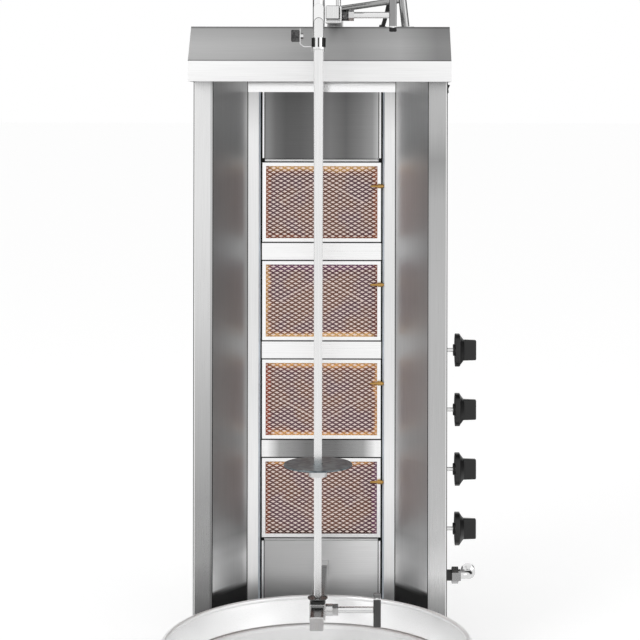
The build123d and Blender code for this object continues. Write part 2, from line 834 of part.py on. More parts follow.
def spit_bar():
    # Tapered flat bar with a rounded head and foot and broken edges
    wide = spit_top_w / 2
    narrow = spit_bottom_w / 2
    head_z = spit_top_z - wide
    foot_z = spit_bottom_z + narrow
    outline = Polyline((narrow, foot_z), (wide, head_z))
    outline += ThreePointArc((wide, head_z), (0, spit_top_z), (-wide, head_z))
    outline += Polyline((-wide, head_z), (-narrow, foot_z))
    outline += ThreePointArc((-narrow, foot_z), (0, spit_bottom_z), (narrow, foot_z))
    front = Plane(origin=(0, spit_depth / 2, 0), x_dir=(1, 0, 0), z_dir=(0, -1, 0))
    bar = front * extrude(make_face(outline), spit_depth)
    faces = bar.faces().sort_by(Axis.Y)
    return chamfer(faces[0].edges() + faces[-1].edges(), spit_edge)


def spit_holder():
    # Slotted drive tube: the spit goes in from the front
    tube = rod((0, 0, holder_bottom_z), (0, 0, 1), holder_r, holder_length)
    tube += rod((0, 0, holder_bottom_z), (0, 0, 1), collar_r, collar_z - rest_gap - holder_bottom_z)
    half = holder_slot_w / 2
    back = spit_depth / 2 + rest_gap
    slot = block(-half, half, -collar_r - 1, back, holder_bottom_z - 1, slot_arch_z - half)
    arch = rod((0, -collar_r - 1, slot_arch_z - half), (0, 1, 0), half, collar_r + 1 + back)
    tube -= slot
    tube -= arch
    return tube + rod((0, 0, holder_top_z), (0, 0, 1), shaft_r, gearbox_z + shaft_grip - holder_top_z)


def lock_collar():
    # Ring that slides up to free the spit, with upright finger grooves
    ring = rod((0, 0, collar_z), (0, 0, 1), collar_r, collar_height)
    ring -= rod((0, 0, collar_z - 1), (0, 0, 1), holder_r + turn_gap, collar_height + 2)
    for k in range(collar_fingers):
        groove = block(collar_r - 1.0, collar_r + 2, -1.6, 1.6, collar_z + 5, collar_z + collar_height + 1)
        ring -= Rot(0, 0, 360 * (k + 0.5) / collar_fingers) * groove
    return ring


def collar_lever():
    # Bent strip from the collar up to the grip, with its screw and nut
    lug = collar_z + 5.0
    path = [(-collar_r + 0.6, lug), (6.5 - lever_reach, lug), (-lever_reach, lug + 5.0),
            (-lever_reach, collar_z + lever_rise)]
    outline = make_face(Polyline(*mitred(path, lever_thick), close=True))
    plane = Plane(origin=(0, lever_width / 2, 0), x_dir=(1, 0, 0), z_dir=(0, -1, 0))
    strip = plane * extrude(outline, lever_width)
    strip -= rod((0, 0, collar_z), (0, 0, 1), collar_r, collar_height)
    return strip + hexagon((-lever_reach, 0, collar_z + grip_rise), (1, 0, 0), 9, 5)


def collar_grip():
    # Ribbed grip block on the lever
    x1 = -lever_reach - lever_thick
    z = collar_z + grip_rise
    body = block(x1 - grip_depth, x1, -8, 8, z - grip_height / 2, z + grip_height / 2)
    return fillet(body.edges().filter_by(Axis.Y), 2.0)


def meat_plate():
    # Disc that carries the meat, with its hub under it
    disc = rod((0, 0, plate_z - plate_thick / 2), (0, 0, 1), plate_r, plate_thick)
    disc = fillet(disc.edges().filter_by(GeomType.CIRCLE).sort_by(Axis.Z)[-1], 0.8)
    under = plate_z - plate_thick / 2 - plate_hub_height
    disc += rod((0, 0, under), (0, 0, 1), plate_hub_r, plate_hub_height)
    half_w = (spit_bottom_w + plate_play) / 2
    half_d = spit_depth / 2 + rest_gap
    return disc - block(-half_w, half_w, -half_d, half_d, under - 1, plate_z + plate_thick)


def motor_bracket():
    # Pillars on the upper sleeve and the plate that they carry
    inset = thin_sheet + slide_gap
    half_y = housing_half_y - inset
    plate = block(housing_x0 + inset, housing_x1 - inset, -half_y, half_y, motor_plate_z, gearbox_z)
    plate = fillet(plate.edges().filter_by(Axis.Z), housing_corner - inset)
    x = upper_arm_x + sleeve_size / 2 - pillar_inset
    for y in (-pillar_spacing / 2, pillar_spacing / 2):
        plate += rod((x, y, roof_guide_top), (0, 0, 1), pillar_r, pillar_height + 1)
    return plate - rod((0, 0, motor_plate_z - 1), (0, 0, 1), shaft_r + 1.5, motor_plate_thick + 2)


def gear_motor():
    # Gearbox with the motor upright on it
    x1 = housing_x1 - gearbox_room
    top = gearbox_z + gearbox_height
    box = block(x1 - gearbox_length, x1, -gearbox_half_y, gearbox_half_y, gearbox_z, top)
    box = fillet(box.edges().filter_by(Axis.Z), gearbox_corner)
    box += rod((x1 - motor_setback, 0, top), (0, 0, 1), motor_r, motor_height)
    return box - rod((0, 0, gearbox_z - 1), (0, 0, 1), shaft_r + turn_gap, shaft_grip + 1 + rest_gap)


def motor_housing():
    # Deep-drawn cover over the gear motor, with a gland hole in its back
    cover = block(housing_x0, housing_x1, -housing_half_y, housing_half_y, motor_plate_z, housing_top_z)
    cover = fillet(cover.edges().filter_by(Axis.Z), housing_corner)
    cover = fillet(cover.faces().sort_by(Axis.Z)[-1].edges(), 8)
    bottom = cover.faces().sort_by(Axis.Z)[0]
    cover = offset(cover, -thin_sheet, openings=bottom)
    x, y, z = cable_route[-1]
    return cover - rod((x, housing_half_y - 5, z), (0, 1, 0), gland_neck_r + slide_gap, 10)


# The motor's cable: out of the roof, in a loop to the back of the motor housing
cable_route = [(124.6, 328.6, roof_z + 10.9), (138.0, 321.9, roof_z + 53.5), (137.0, 288.0, roof_z + 98.5),
               (117.0, 238.0, roof_z + 126.5), (81.0, 184.0, gland_z + 8.0), (46.0, 136.0, gland_z + 4.0),
               (30.0, 100.0, gland_z), (30.0, 74.0, gland_z)]


def cable_direction(first, second):
    # Unit direction from one route point to the next
    return (Vector(*second) - Vector(*first)).normalized()


def motor_cable():
    # Round rubber cable as straight runs joined by arcs
    return pipe(tube_path(cable_route), cable_d / 2)


def cable_glands():
    # Rubber gland on the roof, leaning with the cable, and the one on the housing's back
    start = Vector(*cable_route[0])
    lean = cable_direction(cable_route[0], cable_route[1])
    root = start - lean * gland_length
    boot = rod(root - lean * 6, lean, gland_r - 3.5, gland_length + 6)
    boot += rod((root.X, root.Y, roof_z), (0, 0, 1), gland_r, 4)
    boot -= block(root.X - 30, root.X + 30, root.Y - 30, root.Y + 30, roof_z - 20, roof_z)
    x, y, z = cable_route[-1]
    face = housing_half_y
    outline = [(0, -4), (gland_neck_r, -4), (gland_neck_r, 0), (gland_r, 0), (gland_r, 5), (7, y - face),
               (0, y - face)]
    return boot, turned((x, face, z), (0, 1, 0), outline)


def stay_tube():
    # Leaning polished tube on the roof with a foot flange and a domed end
    lean = (-math.sin(math.radians(stay_lean)), 0, math.cos(math.radians(stay_lean)))
    start = (stay_x, stay_y, roof_z)
    tube = rod((stay_x, stay_y, roof_z), lean, stay_r, stay_length)
    tube = fillet(tube.edges().filter_by(GeomType.CIRCLE).sort_by(Axis.Z)[-1], 5)
    tube += rod(start, (0, 0, 1), stay_flange_r, stay_flange)
    return tube - block(stay_x - 40, stay_x + 40, stay_y - 40, stay_y + 40, roof_z - 20, roof_z)


def tie_rod():
    # Rod from the top of the upper arm to the stay
    rise = math.radians(tie_rise)
    start = (upper_arm_x, stay_y, roof_guide_top + tie_r + 1.0)
    direction = (math.cos(rise), 0, math.sin(rise))
    span = (stay_x - upper_arm_x) / math.cos(rise) - stay_r - 6
    piece = rod(start, direction, tie_r, span)
    piece += rod((upper_arm_x, stay_y, roof_guide_top), (0, 0, 1), tie_r + 2, 2 * tie_r)
    lean = (-math.sin(math.radians(stay_lean)), 0, math.cos(math.radians(stay_lean)))
    return piece - rod((stay_x, stay_y, roof_z), lean, stay_r + 0.01, stay_length)


def drip_pan():
    # Round pan with a flared wall and a rolled rim
    floor = pan_bottom_z
    rim_z = floor + pan_depth - bead_r
    rim_x = pan_rim_r - bead_r
    outline = Polyline((0, 0, floor), (pan_floor_r - 10, 0, floor), (pan_floor_r + 4, 0, floor + 8),
                       (rim_x + 1.6, 0, rim_z), (rim_x - 0.4, 0, rim_z + 1),
                       (pan_floor_r + 2, 0, floor + pan_wall + 8.4),
                       (pan_floor_r - 10.6, 0, floor + pan_wall),
                       (0, 0, floor + pan_wall), close=True)
    dish = revolve(make_face(outline), Axis.Z)
    bead = revolve(Pos(rim_x, 0, rim_z) * (Plane.XZ * Circle(bead_r)), Axis.Z)
    return Pos(0, pan_y, 0) * (dish + bead)


def place(piece):
    # Moves a piece from the spit's frame to the part's own frame
    return Pos(-origin_x, -origin_y, 0) * piece


def save(name, *solids):
    # Writes one node, a single solid or a group of them
    placed = [place(solid) for piece in solids for solid in piece.solids()]
    node = placed[0] if len(placed) == 1 else Compound(children=placed)
    node.label = name
    export_step(node, f"parts/{name}.step")


save("base_platform", base_platform())
save("rubber_feet", *rubber_feet())
save("left_side_panel", side_panel(-1))
save("right_side_panel", side_panel(1))
save("left_reflector", reflector(-1))
save("right_reflector", reflector(1))
save("back_cover", back_cover())
save("panel_screws", *panel_screws())
save("hood", hood())
save("window_header", window_header())
save("upper_plate", upper_plate())
save("lower_plate", lower_plate())
save("burner_dividers", *burner_dividers())
for number, height in enumerate(burner_z, 1):
    save(f"burner_screen_{number}", burner_screen(height))
save("burner_housings", *[burner_housing(z) for z in burner_z])
save("ceramic_plaques", *[ceramic_plaque(z) for z in burner_z])
save("thermocouples", *[thermocouple(z) for z in burner_z])
save("gas_injectors", *[injector(z) for z in burner_z])
save("burner_feed_pipes", *[feed_pipe(k) for k in range(burner_count)])
save("gas_manifold", gas_manifold())
save("gas_valves", *[gas_valve(z) for z in knob_z])
for number, height in enumerate(knob_z, 1):
    save(f"valve_spindle_{number}", valve_spindle(height))
    save(f"control_knob_{number}", control_knob(height))
save("inlet_nipple", inlet_nipple())
save("inlet_union_nut", inlet_union_nut())
save("inlet_elbow", inlet_elbow())
save("switch_frame", switch_frame())
save("switch_rocker", switch_rocker())
save("arm_guides", lower_guide(), upper_guide())
save("lower_arm", lower_arm())
save("upper_arm", upper_arm())
save("arm_end_caps", *arm_end_caps())
save("lower_sleeve", sliding_sleeve(0, lower_arm_z))
save("upper_sleeve", sliding_sleeve(upper_arm_x, upper_arm_z))
save("lower_clamp_screw", clamp_screw(0, lower_arm_z, False))
save("upper_clamp_screw", clamp_screw(upper_arm_x, upper_arm_z, True))
save("pivot_bearing", pivot_bearing())
save("pivot_cup", pivot_cup())
save("spit_bar", spit_bar())
save("spit_holder", spit_holder())
save("lock_collar", lock_collar(), collar_lever())
save("collar_grip", collar_grip())
save("meat_plate", meat_plate())
save("motor_bracket", motor_bracket())
save("gear_motor", gear_motor())
save("motor_housing", motor_housing())
roof_gland, housing_gland = cable_glands()
save("roof_gland", roof_gland)
save("housing_gland", housing_gland)
save("motor_cable", motor_cable())
save("roof_stay", stay_tube(), tie_rod())
save("drip_pan", drip_pan())
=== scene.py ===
from math import radians, sqrt

import bmesh
import bpy
from mathutils import Matrix, Vector


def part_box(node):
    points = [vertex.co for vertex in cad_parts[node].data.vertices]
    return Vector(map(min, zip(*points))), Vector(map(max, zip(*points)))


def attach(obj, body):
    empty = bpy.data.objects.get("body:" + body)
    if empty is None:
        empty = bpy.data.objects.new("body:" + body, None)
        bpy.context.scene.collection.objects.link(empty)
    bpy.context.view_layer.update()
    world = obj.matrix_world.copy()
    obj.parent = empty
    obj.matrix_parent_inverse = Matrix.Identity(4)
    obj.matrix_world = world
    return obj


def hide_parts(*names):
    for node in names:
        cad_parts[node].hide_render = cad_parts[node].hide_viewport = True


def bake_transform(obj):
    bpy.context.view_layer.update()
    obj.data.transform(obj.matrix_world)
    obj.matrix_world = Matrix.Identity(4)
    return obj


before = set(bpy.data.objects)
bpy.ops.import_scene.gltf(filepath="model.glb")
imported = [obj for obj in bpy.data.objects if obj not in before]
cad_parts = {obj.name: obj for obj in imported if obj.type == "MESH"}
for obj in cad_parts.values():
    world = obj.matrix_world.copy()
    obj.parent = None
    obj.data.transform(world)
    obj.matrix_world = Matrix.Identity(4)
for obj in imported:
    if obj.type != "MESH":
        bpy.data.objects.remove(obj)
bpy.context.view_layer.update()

mm = 0.001
burners = (1, 2, 3, 4)  # counted from the top, as the knobs are
spitX = (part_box("spit_bar")[0].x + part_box("spit_bar")[1].x) / 2


def burnerMiddle(index):
    low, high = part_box(f"burner_screen_{index}")
    return (low.z + high.z) / 2


# shader sums

class Wire:  # one value or colour inside a finish, usable in plain sums
    def __init__(self, finish, socket):
        self.finish = finish
        self.socket = socket

    def sum(self, operation, first, second=0.0, clamp=False):
        return self.finish.node("Math", {"operation": operation, "use_clamp": clamp}, {0: first, 1: second})

    def __add__(self, other):
        return self.sum("ADD", self, other)

    def __radd__(self, other):
        return self.sum("ADD", other, self)

    def __sub__(self, other):
        return self.sum("SUBTRACT", self, other)

    def __rsub__(self, other):
        return self.sum("SUBTRACT", other, self)

    def __mul__(self, other):
        return self.sum("MULTIPLY", self, other)

    def __rmul__(self, other):
        return self.sum("MULTIPLY", other, self)

    def __truediv__(self, other):
        return self.sum("DIVIDE", self, other)

    def __rtruediv__(self, other):
        return self.sum("DIVIDE", other, self)

    def __abs__(self):
        return self.sum("ABSOLUTE", self)

    def below(self, limit):
        return self.sum("LESS_THAN", self, limit)

    def above(self, limit):
        return self.sum("GREATER_THAN", self, limit)

    def clamped(self):
        return self.sum("ADD", self, 0.0, True)


def grey(value):  # a screen grey from 0 to 255 as a linear colour
    share = value / 255
    linear = share / 12.92 if share <= 0.04045 else ((share + 0.055) / 1.055) ** 2.4
    return (linear, linear, linear)


def tint(red, green, blue):  # the same for a colour
    return tuple(grey(value)[0] for value in (red, green, blue))


def greyStops(stops):
    return [(at, grey(tone)) for at, tone in stops]


class Tree:  # a node tree whose values are Wires
    def start(self, owner, coordinates):
        owner.use_nodes = True
        self.tree = owner.node_tree
        self.place = self.node("TexCoord", output=coordinates)
        self.x, self.y, self.z = [self.node("SeparateXYZ", None, {0: self.place}, axis) for axis in "XYZ"]

    def join(self, socket, value):
        if isinstance(value, Wire):
            self.tree.links.new(value.socket, socket)
        elif socket.type == "RGBA" and len(value) == 3:
            socket.default_value = (*value, 1.0)
        else:
            socket.default_value = value

    def node(self, kind, settings=None, inputs=None, output=0):
        made = self.tree.nodes.new("ShaderNode" + kind)
        for name, value in (settings or {}).items():
            if name == "stops":
                while len(made.color_ramp.elements) < len(value):
                    made.color_ramp.elements.new(0.5)
                for element, (position, colour) in zip(made.color_ramp.elements, value):
                    element.position = position
                    element.color = (*colour, 1.0)
            else:
                setattr(made, name, value)
        for socket, value in (inputs or {}).items():
            self.join(made.inputs[socket], value)
        return Wire(self, made.outputs[output])

    def ramp(self, value, low, high, stops):  # colours along a value, stops given in the value's own unit
        share = (value - low) / (high - low)
        placed = [((position - low) / (high - low), colour) for position, colour in stops]
        return self.node("ValToRGB", {"stops": placed}, {0: share})

    def mix(self, share, first, second, blend="MIX"):
        settings = {"data_type": "RGBA", "blend_type": blend}
        return self.node("Mix", settings, {0: share, 6: first, 7: second}, 2)

    def noise(self, scale, detail=2.0, stretch=(1, 1, 1), place=(0, 0, 0)):
        mapped = self.node("Mapping", None, {0: self.place, 1: place, 3: stretch})
        return self.node("TexNoise", None, {"Vector": mapped, "Scale": scale, "Detail": detail})


class Sky(Tree):  # the room round the grill
    def __init__(self, name):
        world = bpy.data.worlds.new(name)
        bpy.context.scene.world = world
        self.start(world, "Generated")
        self.tree.nodes["Background"].inputs["Color"].default_value = (1, 1, 1, 1)


class Finish(Tree):  # one material
    def __init__(self, name, colour, roughness, metallic=0.0):
        self.material = bpy.data.materials.new(name)
        self.start(self.material, "Object")
        self.shader = self.tree.nodes["Principled BSDF"]
        self.set("Base Color", colour)
        self.set("Roughness", roughness)
        self.set("Metallic", metallic)

    def set(self, socket, value):
        self.join(self.shader.inputs[socket], value)

    def bump(self, height, strength, distance):
        inputs = {"Strength": strength, "Distance": distance, "Height": height}
        self.set("Normal", self.node("Bump", None, inputs))


# sizes of the burner screens, used by their finish and their shape

screen = {
    "halfWide": 0.121,
    "halfTall": 0.081,
    "meshHalfWide": 0.113,
    "meshHalfTall": 0.0735,
    "meshBehind": 0.0022,
    "meshUnderRim": 0.001,
    "columns": 15,
    "rows": 17,
    "strand": 0.0044,
    "thick": 0.0008,
    "twist": 0.0005,
    "twistBack": 0.4,
    "creaseWide": 0.085,
    "creaseTall": 0.045,
    "creaseHigh": 0.0007,
    "creaseReach": 0.006,
    "rimRound": 0.0008,
}


# finishes: tones are screen greys from 0 to 255, places and widths are metres

steelLook = {
    "roughness": 0.30,
    "grainScale": 9.0,
    "grainLong": 1.0,
    "grainFine": 110.0,
    "grainDetail": 3.0,
    "grainTone": 0.24,
    "grainGloss": 0.16,
    "grainBump": 0.06,
    "bumpDeep": 0.0004,
    "cloudScale": 3.5,
    "cloudTone": 0.08,
    "cloudGloss": 0.08,
    "toneTop": 1.3,
}


def brushed(finish, colour, along, roughness=steelLook["roughness"]):
    # brushed sheet: fine lines along one axis and faint clouds
    stretch = [steelLook["grainFine"]] * 3
    stretch["XYZ".index(along)] = steelLook["grainLong"]
    lines = finish.noise(steelLook["grainScale"], steelLook["grainDetail"], stretch)
    clouds = finish.noise(steelLook["cloudScale"])
    tone = (lines - 0.5) * steelLook["grainTone"] + (clouds - 0.5) * steelLook["cloudTone"] + 1.0
    grain = finish.node("CombineXYZ", None, {0: tone, 1: tone, 2: tone})
    gloss = (lines - 0.5) * steelLook["grainGloss"] + (clouds - 0.5) * steelLook["cloudGloss"]
    finish.set("Base Color", finish.mix(1.0, colour, grain, "MULTIPLY"))
    finish.set("Roughness", gloss + roughness)
    finish.bump(lines, steelLook["grainBump"], steelLook["bumpDeep"])


def zTones(finish, stops):  # painted reflection and shade: greys up the height of the grill
    return finish.ramp(finish.z, 0.0, steelLook["toneTop"], greyStops(stops))


def plainSteel(name, tone, along, roughness=steelLook["roughness"]):
    finish = Finish(name, grey(tone), roughness, 1.0)
    brushed(finish, grey(tone), along, roughness)
    return finish


flangeLook = {
    "plainTone": 205,
    "faceDeep": 0.0024,
    # a painted shaded band along the inner edge; a painted highlight and a painted dark reflection along the
    # outer bend
    "lipShadeWide": 0.0042,
    "highlightWide": 0.0034,
    "highlightTone": 240,
    "bendReflectionWide": 0.0017,
    "bendReflectionTone": 74,
}


def flangeSteel(node, side, stops, lipShadeTone):
    # an outer wall: its front flange carries painted reflection and shade up its height, a painted shaded
    # band along its inner edge, and a painted highlight and a painted dark reflection along its outer bend;
    # the rest is plain
    finish = Finish(node, grey(flangeLook["plainTone"]), steelLook["roughness"], 1.0)
    low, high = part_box(node)
    inner, outer = (high.x, low.x) if side < 0 else (low.x, high.x)
    fromInner = abs(finish.x - inner)
    fromOuter = abs(finish.x - outer)
    # greys up the height: painted reflection and shade
    tone = zTones(finish, stops)
    # a painted shaded band along the inner edge
    onLipShade = finish.mix(1.0, tone, grey(lipShadeTone), "MULTIPLY")
    tone = finish.mix(fromInner.below(flangeLook["lipShadeWide"]), tone, onLipShade)
    # a painted highlight, then a painted dark reflection, along the outer bend
    tone = finish.mix(fromOuter.below(flangeLook["highlightWide"]), tone, grey(flangeLook["highlightTone"]))
    tone = finish.mix(fromOuter.below(flangeLook["bendReflectionWide"]), tone, grey(flangeLook["bendReflectionTone"]))
    onFace = finish.y.below(low.y + flangeLook["faceDeep"])
    brushed(finish, finish.mix(onFace, grey(flangeLook["plainTone"]), tone), "Z")
    return finish


hoodLook = {
    "roughness": 0.6,
    "fold": 1.2045,
    "heights": (1.16, 1.28),
    # greys up the hood: painted reflection and shade, with a painted dark line at the fold
    "upTones": [(1.16, 200), (1.166, 238), (1.2035, 242), (1.2045, 96), (1.2065, 200), (1.235, 206),
                (1.268, 190), (1.2715, 124), (1.2722, 196)],
    "sides": (-0.25, 0.22),
    # painted reflection across the slope, darker towards the right
    "acrossTones": [(-0.25, 255), (0.02, 254), (0.14, 255), (0.21, 204)],
}


def hoodSteel(name):
    # painted reflection and shade: a pale fascia, a painted dark line at the fold, then the slope, painted
    # darker towards the right
    finish = Finish(name, grey(200), hoodLook["roughness"], 1.0)
    tone = finish.ramp(finish.z, *hoodLook["heights"], greyStops(hoodLook["upTones"]))
    across = finish.ramp(finish.x, *hoodLook["sides"], greyStops(hoodLook["acrossTones"]))
    onSlope = finish.z.above(hoodLook["fold"])
    tone = finish.mix(onSlope, tone, finish.mix(1.0, tone, across, "MULTIPLY"))
    brushed(finish, tone, "X", hoodLook["roughness"])
    return finish


reflectorLook = {  # every reach is measured from the spit, sideways
    "roughness": 0.36,
    "turnReach": 0.205,
    "turnWide": 0.055,
    # the strip beside the window: a nearly white painted reflection
    "stripReach": 0.1490,
    "stripTones": [(0.08, 200), (0.16, 250), (0.26, 255), (0.34, 252), (0.54, 236), (0.73, 232),
                   (0.93, 236), (1.06, 242), (1.12, 232)],
    # the flared wall beside the window: a pale blue painted reflection, with painted shade in the gap behind
    # it
    "flareReach": 0.1285,
    "flareBehind": 0.2352,
    "flareReflectionTint": (232, 238, 244),
    "flareRough": 0.4,
    "gapBehind": 0.2450,
    "windowGapShadeTone": 46,
    # painted shade along the bend
    "bendReach": 0.1495,
    "bendHalf": 0.0011,
    "bendShadeTone": 104,
    # painted shade next to the flange
    "outerReach": 0.2112,
    "outerShadeTone": 40,
}


def reflectorSteel(name, outerStops, innerStops):
    # painted reflection and shade: the slanting sheets are painted darker towards the flange and dark at the
    # foot; the strip beside the window is a nearly white painted reflection, with painted shade in the
    # window gap, along the bend and next to the flange
    look = reflectorLook
    finish = Finish(name, grey(120), look["roughness"], 1.0)
    across = abs(finish.x - spitX)
    inward = ((look["turnReach"] - across) / look["turnWide"]).clamped()
    # greys up the height: painted reflection and shade, dark at the foot
    tone = finish.mix(inward, zTones(finish, outerStops), zTones(finish, innerStops))
    # a nearly white painted reflection on the strip beside the window
    tone = finish.mix(across.below(look["stripReach"]), tone, zTones(finish, look["stripTones"]))
    # a pale blue painted reflection on the flared wall, painted shade in the gap behind it
    flare = finish.y.above(look["flareBehind"]) * across.below(look["flareReach"])
    tone = finish.mix(flare, tone, tint(*look["flareReflectionTint"]))
    tone = finish.mix(flare * finish.y.above(look["gapBehind"]), tone, grey(look["windowGapShadeTone"]))
    # painted shade along the bend and next to the flange
    bendShade = abs(across - look["bendReach"]).below(look["bendHalf"])
    tone = finish.mix(bendShade, tone, grey(look["bendShadeTone"]))
    tone = finish.mix(across.above(look["outerReach"]), tone, grey(look["outerShadeTone"]))
    brushed(finish, tone, "Z", look["roughness"])
    finish.set("Roughness", look["roughness"] + flare * look["flareRough"])
    return finish


plateLook = {
    "roughness": 0.34,
    "fieldReach": 0.1150,
    # down each side: painted shade on the bead's slope, a painted highlight on the bead, painted shade in
    # the gap
    "sideShadeAndHighlight": [(0.1150, 70), (0.1166, 252), (0.1202, 40)],
    # along top and foot: a painted highlight on the bead, painted shade in the gap at the edge
    "beadTall": 0.0050,
    "beadHighlightTone": 250,
    "gapShadeTall": 0.0016,
    "gapShadeTone": 46,
}


def plateSteel(name, node, stops, roughness=plateLook["roughness"]):
    # a blank plate: down each side painted shade on the bead's slope, a painted highlight on the bead and
    # painted shade in the gap; along top and foot a painted highlight on the bead and painted shade in the
    # gap; painted reflection tones across the middle
    finish = Finish(name, grey(160), roughness, 1.0)
    low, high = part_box(node)
    across = abs(finish.x - spitX)
    # painted reflection tones across the plate
    tone = finish.ramp(finish.x, low.x, high.x, greyStops(stops))
    # painted shade and highlight down each side
    for reach, bandTone in plateLook["sideShadeAndHighlight"]:
        tone = finish.mix(across.above(reach), tone, grey(bandTone))
    for edge in (low.z, high.z):
        away = abs(finish.z - edge)
        # a painted highlight along the bead, then painted shade in the gap at the edge
        beadHighlight = away.below(plateLook["beadTall"]) * across.below(plateLook["fieldReach"])
        tone = finish.mix(beadHighlight, tone, grey(plateLook["beadHighlightTone"]))
        tone = finish.mix(away.below(plateLook["gapShadeTall"]), tone, grey(plateLook["gapShadeTone"]))
    brushed(finish, tone, "X", roughness)
    return finish


dividerLook = {
    "tone": 252,
    "lowestUnder": 0.45,
    # painted shade in the middle of the lowest divider
    "lowestShadeTones": [(0.03, 126), (0.085, 168), (0.11, 250)],
    "lowestReach": 0.12,
    # painted shade in the gap along each divider
    "gapShadeFrom": 0.0170,
    "gapShadeTo": 0.0192,
    "gapShadeTone": 52,
}


def dividerSteel(name):
    # white strips between the burners, the lowest one with painted shade in its middle, each with painted
    # shade in the gap along it
    finish = Finish(name, grey(250), steelLook["roughness"], 1.0)
    across = abs(finish.x - spitX)
    # painted shade in the middle of the lowest divider
    lowestShade = finish.ramp(across, 0.0, dividerLook["lowestReach"], greyStops(dividerLook["lowestShadeTones"]))
    tone = finish.mix(finish.z.below(dividerLook["lowestUnder"]), grey(dividerLook["tone"]), lowestShade)
    for index in burners[:-1]:
        middle = (burnerMiddle(index) + burnerMiddle(index + 1)) / 2
        # painted shade in the gap along each divider
        away = abs(finish.z - middle)
        gapShade = away.below(dividerLook["gapShadeTo"]) * away.above(dividerLook["gapShadeFrom"])
        tone = finish.mix(gapShade, tone, grey(dividerLook["gapShadeTone"]))
    brushed(finish, tone, "X")
    return finish


bezelLook = {
    "roughness": 0.32,
    "tone": 254,
    # painted shade in the gap round the bezel
    "sideReach": 0.1204,
    "gapShadeFrom": 0.0803,
    "gapShadeTo": 0.0830,
    "gapShadeTone": 60,
}


def bezelSteel(name):
    # pale frame of a burner with painted shade in the gap along its outer edge
    finish = Finish(name, grey(252), bezelLook["roughness"], 1.0)
    # painted shade in the gap along the sides
    gapShade = grey(bezelLook["gapShadeTone"])
    tone = finish.mix(abs(finish.x - spitX).above(bezelLook["sideReach"]), grey(bezelLook["tone"]), gapShade)
    # painted shade in the gap along the top and foot of each bezel
    for index in burners:
        away = abs(finish.z - burnerMiddle(index))
        tone = finish.mix(away.above(bezelLook["gapShadeFrom"]) * away.below(bezelLook["gapShadeTo"]), tone, gapShade)
    brushed(finish, tone, "X", bezelLook["roughness"])
    return finish


plasticLook = {
    "grainScale": 1400.0,
    "grainBump": 0.05,
    "bumpDeep": 0.0002,
}


def plasticFinish(name, tone, roughness):  # plastic, rubber and paint with a fine grain
    finish = Finish(name, grey(tone), roughness)
    finish.bump(finish.noise(plasticLook["grainScale"]), plasticLook["grainBump"], plasticLook["bumpDeep"])
    return finish


gripLook = {
    "grainScale": 260.0,
    "grainTones": [(0.38, 26), (0.62, 74)],
    "grainBump": 0.3,
    "bumpDeep": 0.0006,
}


def gripFinish(name):
    # black plastic with a coarse grain
    finish = Finish(name, grey(44), 0.5)
    grain = finish.noise(gripLook["grainScale"])
    finish.set("Base Color", finish.ramp(grain, 0.0, 1.0, greyStops(gripLook["grainTones"])))
    finish.bump(grain, gripLook["grainBump"], gripLook["bumpDeep"])
    return finish


polishedLook = {
    "streakScale": 30.0,
    "streakFine": 30.0,
    "streakRough": 0.06,
}


def polishedFinish(name, colour, roughness):  # smooth metal with faint upright streaks
    finish = Finish(name, colour, roughness, 1.0)
    fine = polishedLook["streakFine"]
    streaks = finish.noise(polishedLook["streakScale"], stretch=(fine, fine, 1))
    finish.set("Roughness", roughness + streaks * polishedLook["streakRough"])
    return finish


heatLook = {  # fringes: the colour along each edge of each burner mesh, and how far it reaches in
    "dark": (116, 86, 76),
    "plum": (104, 80, 86),
    "patchScale": 16.0,
    "patchShift": 3.1,
    "patchEdge": (0.46, 0.60),
    "wanderScale": 34.0,
    "wanderShift": 2.3,
    "wander": 0.016,
    "fringes": [
        {"top": (208, 168, 116, 0.013), "bottom": (128, 82, 66, 0.008), "left": (146, 92, 70, 0.009),
         "right": (150, 94, 70, 0.009)},
        {"top": (112, 78, 100, 0.016), "bottom": (204, 164, 112, 0.009), "left": (200, 158, 108, 0.008),
         "right": (126, 76, 66, 0.008)},
        {"top": (206, 156, 100, 0.012), "bottom": (204, 156, 104, 0.009), "left": (150, 82, 66, 0.010),
         "right": (200, 150, 98, 0.008)},
        {"top": (196, 148, 98, 0.010), "bottom": (78, 56, 54, 0.008), "left": (132, 82, 66, 0.008),
         "right": (112, 76, 98, 0.012)},
    ],
    "fringeSteep": 1.8,
    "rustWide": 1.7,
    "rustShares": (0.62, 0.45, 0.5),
    # a painted highlight along the pressed crease, on its lit half
    "creaseLine": 0.026,
    "creaseHighlightTint": (226, 212, 204),
    "creaseHighlightShare": 0.9,
    "creaseOver": -0.004,
    "litHalf": [1, 1, -1, -1],
    "roughness": 0.40,
    "roughWander": 8.0,
}


